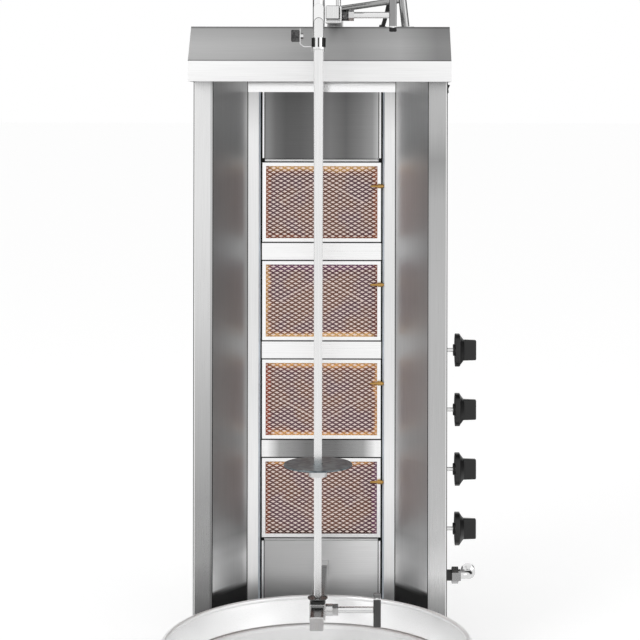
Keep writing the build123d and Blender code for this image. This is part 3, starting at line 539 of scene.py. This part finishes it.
def heatSteel(name, index):
    # mesh that has been hot: dark brown in the middle, straw, rust and plum fringes along its edges, and a
    # painted highlight along the pressed crease on its lit half
    finish = Finish(name, tint(*heatLook["dark"]), heatLook["roughness"], 1.0)
    side = finish.x - spitX
    height = finish.z - burnerMiddle(index)
    patches = finish.noise(heatLook["patchScale"], place=(heatLook["patchShift"] * index, 0, 0))
    clouds = finish.noise(heatLook["wanderScale"], 3.0, place=(0, 0, heatLook["wanderShift"] * index))
    wander = (clouds - 0.5) * heatLook["wander"]
    patchLow, patchHigh = heatLook["patchEdge"]
    plumShare = finish.ramp(patches, 0.0, 1.0, [(patchLow, (0, 0, 0)), (patchHigh, (1, 1, 1))])
    colour = finish.mix(plumShare, tint(*heatLook["dark"]), tint(*heatLook["plum"]))
    distances = {"top": screen["meshHalfTall"] - height, "bottom": screen["meshHalfTall"] + height,
                 "left": screen["meshHalfWide"] + side, "right": screen["meshHalfWide"] - side}
    for edge, distance in distances.items():
        *fringe, reach = heatLook["fringes"][index - 1][edge]
        rust = [level * share for level, share in zip(fringe, heatLook["rustShares"])]
        rustShare = (1.0 - (distance + wander) / (reach * heatLook["rustWide"])).clamped()
        colour = finish.mix(rustShare, colour, tint(*rust))
        fringeShare = ((1.0 - (distance + wander) / reach) * heatLook["fringeSteep"]).clamped()
        colour = finish.mix(fringeShare, colour, tint(*fringe))
    # painted highlight along the pressed crease, lit half only
    diamond = abs(side) / screen["creaseWide"] + abs(height) / screen["creaseTall"]
    crease = abs(diamond - 1.0).below(heatLook["creaseLine"])
    litSide = (height * heatLook["litHalf"][index - 1]).above(heatLook["creaseOver"])
    creaseHighlightShare = crease * litSide * (patches * heatLook["creaseHighlightShare"]).clamped()
    finish.set("Base Color", finish.mix(creaseHighlightShare, colour, tint(*heatLook["creaseHighlightTint"])))
    finish.set("Roughness", heatLook["roughness"] + wander * heatLook["roughWander"])
    return finish


ceramicLook = {
    "roughness": 0.9,
    # a painted glow standing in for the light on the plaque
    "glow": 0.46,
    "paintedLightTint": (250, 232, 224),
    # darker spots of painted shade for the holes
    "spotScale": 330.0,
    "spotWide": 0.3,
    "holeShadeTint": (190, 165, 155),
    "tint": (252, 244, 238),
}


def ceramicFinish(name):
    # porous plaque with a painted glow that stands in for the light falling on it, pricked with holes
    # painted as darker spots of shade
    finish = Finish(name, tint(*ceramicLook["tint"]), ceramicLook["roughness"])
    # darker spots of painted shade for the holes
    spots = finish.node("TexVoronoi", {"feature": "F1"}, {"Scale": ceramicLook["spotScale"]})
    pricked = spots.below(ceramicLook["spotWide"])
    finish.set("Base Color", finish.mix(pricked, tint(*ceramicLook["tint"]), tint(*ceramicLook["holeShadeTint"])))
    # painted glow standing in for the light on the plaque
    finish.set("Emission Color", tint(*ceramicLook["paintedLightTint"]))
    finish.set("Emission Strength", ceramicLook["glow"])
    return finish


panLook = {
    "roughness": 0.40,
    "wallTone": 254,
    "floorDeep": 0.006,
    "floorReach": 0.3,
    "floorTones": [(0.03, 255), (0.14, 250), (0.25, 222)],
    "floorDull": 0.9,
    # painted shade in the corner between floor and wall
    "cornerHeight": 0.0085,
    "cornerHalf": 0.0008,
    "cornerShadeTone": 186,
}


def panFinish(name):
    # pale pan, its floor duller than its wall and darker towards its ends, with painted shade in the corner
    # where they meet
    finish = Finish(name, grey(246), panLook["roughness"], 1.0)
    low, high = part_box("drip_pan")
    across = abs(finish.x - (low.x + high.x) / 2)
    floorTone = finish.ramp(across, 0.0, panLook["floorReach"], greyStops(panLook["floorTones"]))
    onFloor = finish.z.below(low.z + panLook["floorDeep"])
    # painted shade in the corner between floor and wall
    cornerShade = abs(finish.z - (low.z + panLook["cornerHeight"])).below(panLook["cornerHalf"])
    tone = finish.mix(onFloor, grey(panLook["wallTone"]), floorTone)
    tone = finish.mix(cornerShade, tone, grey(panLook["cornerShadeTone"]))
    brushed(finish, tone, "X", panLook["roughness"])
    finish.set("Metallic", 1.0 - onFloor * panLook["floorDull"])
    return finish


lowerEnd = 0.7  # arms, screws and sleeves below this height belong to the foot of the spit

screwLook = {
    "roughness": 0.12,
    "handleRough": 0.2,
    "streakScale": 40.0,
    "streakStretch": (1, 1, 8),
    "streakRough": 0.06,
    "tone": 232,
    "handleLong": 0.0145,
    "upperTone": 150,
    "lowerTone": 92,
    "domeTone": 128,
    "domeTall": 0.0075,
    # a painted dark reflection at the foot of the upper handle
    "footReflectionTone": 52,
    "footTall": 0.0075,
    # a painted highlight line across each handle
    "grooveTone": 240,
    "lowerGroove": (0.0093, 0.0018),
    "upperGroove": (0.0090, 0.0014),
}


def screwSteel(name):
    # bright screws; the cross handles are darker greys, the lower with a lighter dome, with a painted
    # highlight line across each and a painted dark reflection at the upper one's foot
    look = screwLook
    finish = Finish(name, grey(220), look["roughness"], 1.0)
    low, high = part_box("lower_clamp_screw")
    upLow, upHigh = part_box("upper_clamp_screw")
    onLower = finish.z.below(lowerEnd)
    onUpper = finish.z.above(lowerEnd)
    lowerHandle = finish.x.above(high.x - look["handleLong"]) * onLower
    upperHandle = finish.x.above(upHigh.x - look["handleLong"]) * (1.0 - onLower)
    onHandle = lowerHandle + upperHandle
    tone = finish.mix(onLower, grey(look["upperTone"]), grey(look["lowerTone"]))
    tone = finish.mix(onLower * finish.z.above(high.z - look["domeTall"]), tone, grey(look["domeTone"]))
    # a painted highlight line across the lower handle
    depth, half = look["lowerGroove"]
    tone = finish.mix(abs(finish.z - (high.z - depth)).below(half), tone, grey(look["grooveTone"]))
    # a painted dark reflection at the upper handle's foot, then a painted highlight line
    tone = finish.mix(onUpper * finish.z.below(upLow.z + look["footTall"]), tone, grey(look["footReflectionTone"]))
    height, half = look["upperGroove"]
    tone = finish.mix(abs(finish.z - (upLow.z + height)).below(half), tone, grey(look["grooveTone"]))
    finish.set("Base Color", finish.mix(onHandle, grey(look["tone"]), tone))
    streaks = finish.noise(look["streakScale"], stretch=look["streakStretch"]) * look["streakRough"]
    finish.set("Roughness", look["roughness"] + onHandle * look["handleRough"] + streaks)
    return finish


collarLook = {
    "roughness": 0.08,
    "streakScale": 60.0,
    "streakRough": 0.06,
    "tone": 236,
    "grooves": (0.0035, 0.0225),
    "middleGroove": 0.0013,
    "sideGroove": (0.0098, 0.0034),
    # painted shade and painted dark reflection in the finger grooves and ears
    "grooveTone": 56,
    "grooveRough": 0.4,
    "stripFrom": -0.0142,
    "stripTone": 222,
}


def collarSteel(name):
    # polished ring; its finger grooves and ears are painted dark as painted shade and painted dark
    # reflection; the strip to the grip is a little darker
    look = collarLook
    finish = Finish(name, grey(232), look["roughness"], 1.0)
    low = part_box("lock_collar")[0]
    side = finish.x - spitX
    foot, head = look["grooves"]
    grooved = finish.z.below(low.z + head) * finish.z.above(low.z + foot)
    reach, half = look["sideGroove"]
    # painted shade and painted dark reflection in the grooves and ears
    grooveShade = abs(side).below(look["middleGroove"]) + abs(abs(side) - reach).below(half)
    grooveShade = (grooveShade * grooved).clamped()
    tone = finish.mix(grooveShade, grey(look["tone"]), grey(look["grooveTone"]))
    finish.set("Base Color", finish.mix(side.below(look["stripFrom"]), tone, grey(look["stripTone"])))
    streaks = finish.noise(look["streakScale"]) * look["streakRough"]
    finish.set("Roughness", look["roughness"] + grooveShade * look["grooveRough"] + streaks)
    return finish


discLook = {
    "dark": (74, 84, 90),
    "pale": (122, 132, 136),
    "patchEdge": (0.38, 0.62),
    "patchScale": 90.0,
    "plateThick": 0.0062,
    "hubTone": 228,
    "metallic": 0.6,
    "roughness": 0.26,
    "patchRough": 0.2,
}


def discSteel(name):
    # blue-grey mottled disc with a pale hub under it
    finish = Finish(name, tint(*discLook["dark"]), discLook["roughness"], discLook["metallic"])
    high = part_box("meat_plate")[1]
    mottle = finish.noise(discLook["patchScale"])
    patchLow, patchHigh = discLook["patchEdge"]
    stops = [(patchLow, tint(*discLook["dark"])), (patchHigh, tint(*discLook["pale"]))]
    top = finish.ramp(mottle, 0.0, 1.0, stops)
    onHub = finish.z.below(high.z - discLook["plateThick"])
    finish.set("Base Color", finish.mix(onHub, top, grey(discLook["hubTone"])))
    finish.set("Roughness", discLook["roughness"] + mottle * discLook["patchRough"])
    return finish


armLook = {
    "tone": 228,
    "shadeTone": 92,
    "sideShade": 0.0008,
    "topShade": 0.0006,
    "roughness": 0.2,
    "capTone": 226,
    "capRoughness": 0.24,
    # painted shade round the upper cap's face, wider on the right and at the foot
    "capShadeTone": 58,
    "leftAndTopShade": 0.0008,
    "rightAndFootShade": 0.0016,
}


def armSteel(name):
    # square tube, its right side in shade
    finish = Finish(name, grey(226), armLook["roughness"], 1.0)
    onLower = finish.z.below(lowerEnd)
    lowerHigh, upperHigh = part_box("lower_arm")[1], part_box("upper_arm")[1]
    edge = onLower * lowerHigh.x + (1.0 - onLower) * upperHigh.x
    # the lower arm's top is painted in the same shade
    onTop = onLower * finish.z.above(lowerHigh.z - armLook["topShade"])
    shade = (finish.x.above(edge - armLook["sideShade"]) + onTop).clamped()
    tone = finish.mix(shade, grey(armLook["tone"]), grey(armLook["shadeTone"]))
    brushed(finish, tone, "Y", armLook["roughness"])
    return finish


def capSteel(name):
    # end cap; the upper one has painted shade round its face, wider on the right and at the foot
    finish = Finish(name, grey(armLook["capTone"]), armLook["capRoughness"], 1.0)
    low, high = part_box("upper_arm")
    thin, wide = armLook["leftAndTopShade"], armLook["rightAndFootShade"]
    # painted shade round the upper cap's face
    gapShade = (finish.x - low.x).below(thin) + (high.x - finish.x).below(wide)
    gapShade = gapShade + (finish.z - low.z).below(wide) + (high.z - finish.z).below(thin)
    gapShade = (gapShade * finish.z.above(lowerEnd)).clamped()
    tone = finish.mix(gapShade, grey(armLook["capTone"]), grey(armLook["capShadeTone"]))
    brushed(finish, tone, "Z", armLook["capRoughness"])
    return finish


sleeveLook = {
    "roughness": 0.24,
    "tone": 214,
    "edgeDeep": 0.0008,
    # a painted highlight on the front edge
    "edgeHighlightTone": 250,
    "nutFromEnd": (0.0228, 0.0100),
    "nutTones": [(0.40, 44), (0.62, 120)],
    "nutScale": 300.0,
}


def sleeveSteel(name):
    # sliding sleeve: a painted highlight on its front edge, the weld nut of the upper one is dark
    finish = Finish(name, grey(226), sleeveLook["roughness"], 1.0)
    low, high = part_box("upper_sleeve")
    inner, outer = sleeveLook["nutFromEnd"]
    nut = finish.z.above(lowerEnd) * finish.x.above(high.x - inner) * finish.x.below(high.x - outer)
    cast = finish.ramp(finish.noise(sleeveLook["nutScale"]), 0.0, 1.0, greyStops(sleeveLook["nutTones"]))
    tone = finish.mix(nut, grey(sleeveLook["tone"]), cast)
    # painted highlight on the front edge
    tone = finish.mix(finish.y.below(low.y + sleeveLook["edgeDeep"]), tone, grey(sleeveLook["edgeHighlightTone"]))
    brushed(finish, tone, "Y", sleeveLook["roughness"])
    return finish


finishes = {
    # the greys listed for the walls and reflectors are painted reflection and shade
    "leftWall": flangeSteel("left_side_panel", -1, [
        (0.08, 108), (0.15, 120), (0.22, 162), (0.265, 164), (0.34, 164), (0.54, 188), (0.73, 216),
        (0.93, 227), (1.13, 231), (1.27, 244)], 222),
    "rightWall": flangeSteel("right_side_panel", 1, [
        (0.08, 150), (0.15, 172), (0.196, 230), (0.225, 221), (0.265, 202), (0.34, 194), (0.54, 187),
        (0.73, 188), (0.93, 180), (1.01, 157), (1.07, 182), (1.13, 190), (1.27, 204)], 250),
    "leftReflector": reflectorSteel(
        "heat reflector steel, left",
        [(0.08, 60), (0.157, 66), (0.161, 240), (0.21, 255), (0.235, 248), (0.259, 204), (0.30, 172),
         (0.34, 164), (0.54, 156), (0.73, 146), (0.93, 142), (1.03, 142), (1.12, 174)],
        [(0.08, 66), (0.151, 76), (0.155, 240), (0.21, 255), (0.229, 206), (0.259, 148), (0.30, 164),
         (0.34, 188), (0.54, 184), (0.73, 176), (0.93, 174), (1.03, 176), (1.12, 206)]),
    "rightReflector": reflectorSteel(
        "heat reflector steel, right",
        [(0.08, 66), (0.157, 72), (0.161, 240), (0.21, 255), (0.235, 240), (0.259, 218), (0.30, 202),
         (0.34, 200), (0.54, 198), (0.73, 184), (0.93, 182), (1.03, 184), (1.12, 236)],
        [(0.08, 72), (0.151, 80), (0.155, 240), (0.21, 255), (0.235, 216), (0.259, 172), (0.30, 196),
         (0.34, 214), (0.54, 210), (0.73, 204), (0.93, 232), (1.03, 236), (1.12, 254)]),
    "sheet": plainSteel("brushed sheet steel", 205, "Z"),
    "rear": plainSteel("rear sheet steel", 246, "Z", 0.4),
    "hood": hoodSteel("hood steel"),
    "header": plainSteel("window header steel", 255, "X", 0.1),
    # the greys listed across the plates are painted reflection
    "upperPlate": plateSteel("blank plate steel", "upper_plate", [
        (-0.123, 137), (-0.109, 112), (-0.088, 97), (-0.058, 101), (0.003, 128), (0.034, 108),
        (0.064, 130), (0.088, 153), (0.099, 190)]),
    "lowerPlate": plateSteel("lower plate steel", "lower_plate", [
        (-0.13, 192), (-0.06, 200), (0.0, 214), (0.06, 236), (0.1, 244)], 0.42),
    "divider": dividerSteel("divider steel"),
    "bezel": bezelSteel("burner bezel steel"),
    "arm": armSteel("satin arm steel"),
    "cap": capSteel("arm end steel"),
    "sleeve": sleeveSteel("sleeve steel"),
    "screw": screwSteel("clamp screw steel"),
    "collar": collarSteel("lock collar steel"),
    "grip": gripFinish("grip plastic"),
    "disc": discSteel("meat disc steel"),
    "pan": panFinish("drip pan steel"),
    "spit": plainSteel("spit steel", 236, "Z", 0.24),
    "tube": polishedFinish("drive tube steel", grey(244), 0.06),
    "chrome": polishedFinish("polished steel", grey(222), 0.06),
    "cup": polishedFinish("turning cup steel", grey(104), 0.16),
    # the roof stay is polished steel painted darker, as painted shade
    "stay": polishedFinish("roof stay steel", grey(168), 0.12),
    "zinc": polishedFinish("zinc plating", grey(158), 0.2),
    "brass": polishedFinish("brass", tint(226, 190, 96), 0.22),
    "probe": polishedFinish("flame probe brass", tint(190, 150, 88), 0.34),
    "copper": polishedFinish("copper pipe", tint(214, 138, 98), 0.25),
    "ceramic": ceramicFinish("burner ceramic"),
    "blackPlastic": plasticFinish("black plastic", 12, 0.34),
    "rubber": plasticFinish("black rubber", 30, 0.6),
    "cable": plasticFinish("cable rubber", 24, 0.45),
    "iron": plasticFinish("black iron", 44, 0.55),
    "motorPaint": plasticFinish("motor paint", 90, 0.5),
}
print("finishes made:", len(finishes))


def ofEachBurner(node):
    return [f"{node}_{index}" for index in burners]


finishOf = {
    "rear": ["back_cover"],
    "sheet": ["base_platform", "arm_guides", "motor_housing", "motor_bracket", "burner_housings"],
    "header": ["window_header"],
    "leftWall": ["left_side_panel"],
    "rightWall": ["right_side_panel"],
    "leftReflector": ["left_reflector"],
    "rightReflector": ["right_reflector"],
    "hood": ["hood"],
    "upperPlate": ["upper_plate"],
    "lowerPlate": ["lower_plate"],
    "divider": ["burner_dividers"],
    "bezel": ofEachBurner("burner_screen"),
    "ceramic": ["ceramic_plaques"],
    "probe": ["thermocouples"],
    "arm": ["lower_arm", "upper_arm"],
    "cap": ["arm_end_caps"],
    "sleeve": ["lower_sleeve", "upper_sleeve"],
    "screw": ["lower_clamp_screw", "upper_clamp_screw"],
    "collar": ["lock_collar"],
    "grip": ["collar_grip"],
    "tube": ["spit_holder"],
    "spit": ["spit_bar"],
    "disc": ["meat_plate"],
    "cup": ["pivot_cup"],
    "pan": ["drip_pan"],
    "stay": ["roof_stay"],
    "chrome": ["inlet_elbow", *ofEachBurner("valve_spindle")],
    "zinc": ["panel_screws", "inlet_union_nut"],
    "blackPlastic": [*ofEachBurner("control_knob"), "switch_frame", "switch_rocker"],
    "rubber": ["rubber_feet", "roof_gland", "housing_gland", "pivot_bearing"],
    "cable": ["motor_cable"],
    "brass": ["gas_injectors", "gas_valves"],
    "copper": ["burner_feed_pipes"],
    "iron": ["gas_manifold", "inlet_nipple"],
    "motorPaint": ["gear_motor"],
}
for finishName, nodeNames in finishOf.items():
    for nodeName in nodeNames:
        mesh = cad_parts[nodeName].data
        mesh.materials.clear()
        mesh.materials.append(finishes[finishName].material)
print("nodes dressed:", sum(len(nodeNames) for nodeNames in finishOf.values()))


# pieces

def placed(name, mesh):  # a new object of the scene
    piece = bpy.data.objects.new(name, mesh)
    bpy.context.scene.collection.objects.link(piece)
    return piece


def finished(name, shape, coats, body, smooth=None):  # a bmesh made into a piece that rides a body
    mesh = bpy.data.meshes.new(name)
    shape.to_mesh(mesh)
    shape.free()
    for coat in coats:
        mesh.materials.append(coat.material)
    if smooth is not None:
        mesh.shade_smooth()
        mesh.set_sharp_from_angle(angle=radians(smooth))
    piece = placed(name, mesh)
    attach(piece, body)
    return piece


# motor cable

cable = {  # route in millimetres, from the roof gland to the gland of the motor housing
    "route": [(109.6, 296.0, 1283.4), (123.0, 289.3, 1326.0), (122.0, 255.4, 1371.0), (102.0, 205.4, 1399.0),
              (66.0, 151.4, 1408.0), (31.0, 103.4, 1404.0), (15.0, 67.4, 1400.0), (15.0, 41.4, 1400.0)],
    "diameter": 0.0085,
    "length": 0.349,
    "smoothness": 10,
    "roundness": 4,
}


def cableCurve(name, thickness):
    curve = bpy.data.curves.new(name, "CURVE")
    curve.dimensions = "3D"
    curve.resolution_u = cable["smoothness"]
    curve.bevel_depth = thickness
    curve.bevel_resolution = cable["roundness"]
    curve.use_fill_caps = thickness > 0
    line = curve.splines.new("NURBS")
    line.points.add(len(cable["route"]) - 1)
    for point, place in zip(line.points, cable["route"]):
        point.co = (*[value * mm for value in place], 1.0)
    line.order_u = 3
    line.use_endpoint_u = True
    holder = placed(name, curve)
    bpy.context.view_layer.update()
    mesh = bpy.data.meshes.new_from_object(holder.evaluated_get(bpy.context.evaluated_depsgraph_get()))
    bpy.data.objects.remove(holder)
    return mesh


def makeCable():
    line = [vertex.co.copy() for vertex in cableCurve("cableLine", 0.0).vertices]
    mesh = cableCurve("cableTube", cable["diameter"] / 2)
    mesh.materials.clear()
    mesh.materials.append(finishes["cable"].material)
    mesh.shade_smooth()
    piece = placed("motorCable", mesh)
    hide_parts("motor_cable")
    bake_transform(piece)


makeCable()
print("cable laid")


# burner screens

def makeMesh(middle, seatY):  # expanded metal: a lattice of diamonds, each opened by an inset
    net = bmesh.new()
    cells = screen["columns"] + screen["rows"] + 2
    bmesh.ops.create_grid(net, x_segments=cells, y_segments=cells, size=cells / 2)
    pitchX = 2 * screen["meshHalfWide"] / screen["columns"]
    pitchZ = 2 * screen["meshHalfTall"] / screen["rows"]
    bmesh.ops.rotate(net, verts=net.verts, matrix=Matrix.Rotation(radians(45), 3, "Z"))
    bmesh.ops.scale(net, verts=net.verts, vec=(pitchX / sqrt(2), pitchZ / sqrt(2), 1))
    for normal, half in (((1, 0, 0), screen["meshHalfWide"]), ((-1, 0, 0), screen["meshHalfWide"]),
                         ((0, 1, 0), screen["meshHalfTall"]), ((0, -1, 0), screen["meshHalfTall"])):
        every = net.verts[:] + net.edges[:] + net.faces[:]
        edge = Vector(normal) * (half + screen["meshUnderRim"])
        bmesh.ops.bisect_plane(net, geom=every, plane_co=edge, plane_no=normal, clear_outer=True)
    holes = net.faces[:]
    bmesh.ops.inset_individual(net, faces=holes, thickness=screen["strand"] / 2, depth=0.0)
    bmesh.ops.delete(net, geom=holes, context="FACES")
    for vertex in net.verts:  # knots forward and openings back, then the pressed diamond crease
        onLattice = len(vertex.link_faces) > 2
        high = screen["twist"] if onLattice else -screen["twist"] * screen["twistBack"]
        ridge = abs(abs(vertex.co.x) / screen["creaseWide"] + abs(vertex.co.y) / screen["creaseTall"] - 1)
        distance = ridge * screen["creaseTall"]
        vertex.co.z += high + screen["creaseHigh"] * max(0.0, 1 - distance / screen["creaseReach"])
    bmesh.ops.solidify(net, geom=net.faces[:], thickness=screen["thick"])
    bmesh.ops.rotate(net, verts=net.verts, matrix=Matrix.Rotation(radians(90), 3, "X"))
    bmesh.ops.translate(net, verts=net.verts, vec=(middle.x, seatY, middle.z))
    return net


def makeRim(middle, low, high):  # bezel: a flat frame drawn back and rounded
    rim = bmesh.new()
    bmesh.ops.create_grid(rim, x_segments=1, y_segments=1, size=1.0)
    bmesh.ops.scale(rim, verts=rim.verts, vec=(screen["halfWide"], screen["halfTall"], 1))
    border = screen["halfWide"] - screen["meshHalfWide"]
    opening = rim.faces[:]
    bmesh.ops.inset_region(rim, faces=opening, thickness=border, use_even_offset=True, use_boundary=True)
    bmesh.ops.delete(rim, geom=opening, context="FACES")
    top = bmesh.ops.extrude_face_region(rim, geom=rim.faces[:])
    bmesh.ops.translate(rim, verts=[part for part in top["geom"] if isinstance(part, bmesh.types.BMVert)],
                        vec=(0, 0, high.y - low.y))
    bmesh.ops.recalc_face_normals(rim, faces=rim.faces[:])
    front = [edge for edge in rim.edges if all(vertex.co.z > mm for vertex in edge.verts)]
    bmesh.ops.bevel(rim, geom=front, offset=screen["rimRound"], segments=2, profile=0.5, affect="EDGES",
                    material=-1)
    bmesh.ops.rotate(rim, verts=rim.verts, matrix=Matrix.Rotation(radians(90), 3, "X"))
    bmesh.ops.translate(rim, verts=rim.verts, vec=(middle.x, high.y, middle.z))
    return rim


def makeScreen(index):
    node = f"burner_screen_{index}"
    low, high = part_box(node)
    middle = (low + high) / 2
    shape = makeMesh(middle, low.y + screen["meshBehind"])
    for face in shape.faces:
        face.material_index = 1
    rim = makeRim(middle, low, high)
    rimMesh = bpy.data.meshes.new("rim")
    rim.to_mesh(rimMesh)
    rim.free()
    shape.from_mesh(rimMesh)
    bpy.data.meshes.remove(rimMesh)
    coats = [finishes["bezel"], heatSteel(f"heat tinted mesh {index}", index)]
    piece = finished(f"burnerScreen{index}", shape, coats, "body")
    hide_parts(node)


for index in burners:
    makeScreen(index)
print("screens woven")


# threads of the clamp screws

thread = {
    "root": 0.0052,
    "crest": 0.0061,
    "pitch": 0.00175,
    "ridgeShare": 0.84,
    "turns": 9,
    "sidesPerTurn": 24,
    "start": 0.0257,
    "smooth": 50,
}


def makeThread(node, body):  # one ridge wound along the screw, outside the weld nut
    low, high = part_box(node)
    start = Vector((low.x + thread["start"], (low.y + high.y) / 2, (low.z + high.z) / 2))
    ridge = bmesh.new()
    half = thread["pitch"] * thread["ridgeShare"] / 2
    corners = [ridge.verts.new(start + Vector((along, 0, reach)))
               for along, reach in ((-half, thread["root"]), (0, thread["crest"]), (half, thread["root"]))]
    outline = ridge.faces.new(corners)
    shift = thread["pitch"] / thread["sidesPerTurn"]
    bmesh.ops.spin(ridge, geom=corners + outline.edges[:] + [outline], cent=start, axis=(1, 0, 0),
                   dvec=(shift, 0, 0), angle=radians(360 * thread["turns"]),
                   steps=thread["turns"] * thread["sidesPerTurn"])
    bmesh.ops.recalc_face_normals(ridge, faces=ridge.faces[:])
    finished(f"{node}Thread", ridge, [finishes["screw"]], body, thread["smooth"])


makeThread("lower_clamp_screw", "lower_screw")
makeThread("upper_clamp_screw", "upper_screw")
print("threads cut")


# studio

studio = {
    "cameraPlace": (0.060, -3.1256, 1.120),
    "cameraRoll": -0.1,
    "cameraSees": 200,
    "pixels": 640,
    "focalPixels": 1660,
    "axisPixel": (358.8, 105),
    "sensor": 36.0,
    "floorSize": 200.0,
    "floorGlow": 0.16,
    "floorGloss": 0.96,
    "floorBehind": 0.10,
    "floorTurn": 0.5,
    "floorSoft": 0.4,
    "skyForObject": 0.86,
    "backDark": 0.04,
    "darkMiddle": 0.47,
    "darkHalf": 0.38,
    "darkSoft": 0.12,
}


def makeCamera():
    data = bpy.data.cameras.new("camera")
    camera = placed("camera", data)
    camera.location = studio["cameraPlace"]
    camera.rotation_euler = (radians(90), radians(studio["cameraRoll"]), 0)
    data.sensor_width = studio["sensor"]
    data.lens = studio["sensor"] * studio["focalPixels"] / studio["pixels"]
    half = studio["pixels"] / 2
    data.shift_x = (half - studio["axisPixel"][0]) / studio["pixels"]
    data.shift_y = (studio["axisPixel"][1] - half) / studio["pixels"]
    data.clip_end = studio["cameraSees"]
    bpy.context.scene.camera = camera


def rays(tree, name):
    return tree.node("LightPath", output=f"Is {name} Ray")


def makeFloor():
    # pale paper; polished pieces see it bright in front of the grill and dark behind it
    shape = bmesh.new()
    bmesh.ops.create_grid(shape, x_segments=1, y_segments=1, size=studio["floorSize"] / 2)
    mesh = bpy.data.meshes.new("floor")
    shape.to_mesh(mesh)
    shape.free()
    placed("floor", mesh)
    paper = Finish("floor paper", grey(250), 0.9)
    paper.set("Specular IOR Level", 0.0)
    direct = (rays(paper, "Camera") + rays(paper, "Transmission")).clamped()
    glow = paper.node("Emission", None, {"Color": (1, 1, 1), "Strength": direct * studio["floorGlow"]})
    seen = paper.node("AddShader", None, {0: Wire(paper, paper.shader.outputs[0]), 1: glow})
    behind = ((paper.y - studio["floorTurn"]) / studio["floorSoft"]).clamped()
    level = studio["floorGloss"] + behind * (studio["floorBehind"] - studio["floorGloss"])
    mirrored = paper.node("Emission", None, {"Color": (1, 1, 1), "Strength": level})
    both = paper.node("MixShader", None, {0: rays(paper, "Glossy"), 1: seen, 2: mirrored})
    paper.join(paper.tree.nodes["Material Output"].inputs["Surface"], both)
    mesh.materials.append(paper.material)


def makeSky():
    # a white room; polished pieces also see a darker zone behind the grill, which draws their outlines
    sky = Sky("white room")
    gloss = rays(sky, "Glossy")
    seen = (rays(sky, "Camera") + gloss + rays(sky, "Transmission")).clamped()
    fromDark = abs(sky.y - studio["darkMiddle"])
    dark = ((studio["darkHalf"] - fromDark) / studio["darkSoft"]).clamped() * gloss
    bright = 1.0 - dark * (1.0 - studio["backDark"])
    level = studio["skyForObject"] + seen * (bright - studio["skyForObject"])
    sky.join(sky.tree.nodes["Background"].inputs["Strength"], level)


lamps = {
    "keyLamp": {"place": (-2.2, -2.6, 2.9), "aim": (0, 0, 0.7), "size": 1.6, "power": 26},
    "fillLamp": {"place": (2.6, -2.0, 1.8), "aim": (0, 0, 0.7), "size": 1.8, "power": 11},
}


def makeLamps():
    for name, lamp in lamps.items():
        data = bpy.data.lights.new(name, "AREA")
        data.size = lamp["size"]
        data.energy = lamp["power"]
        light = placed(name, data)
        light.location = lamp["place"]
        towards = Vector(lamp["aim"]) - Vector(lamp["place"])
        light.rotation_euler = towards.to_track_quat("-Z", "Y").to_euler()


makeCamera()
makeFloor()
makeSky()
makeLamps()
bpy.context.scene.view_settings.view_transform = "Standard"
print("studio set")
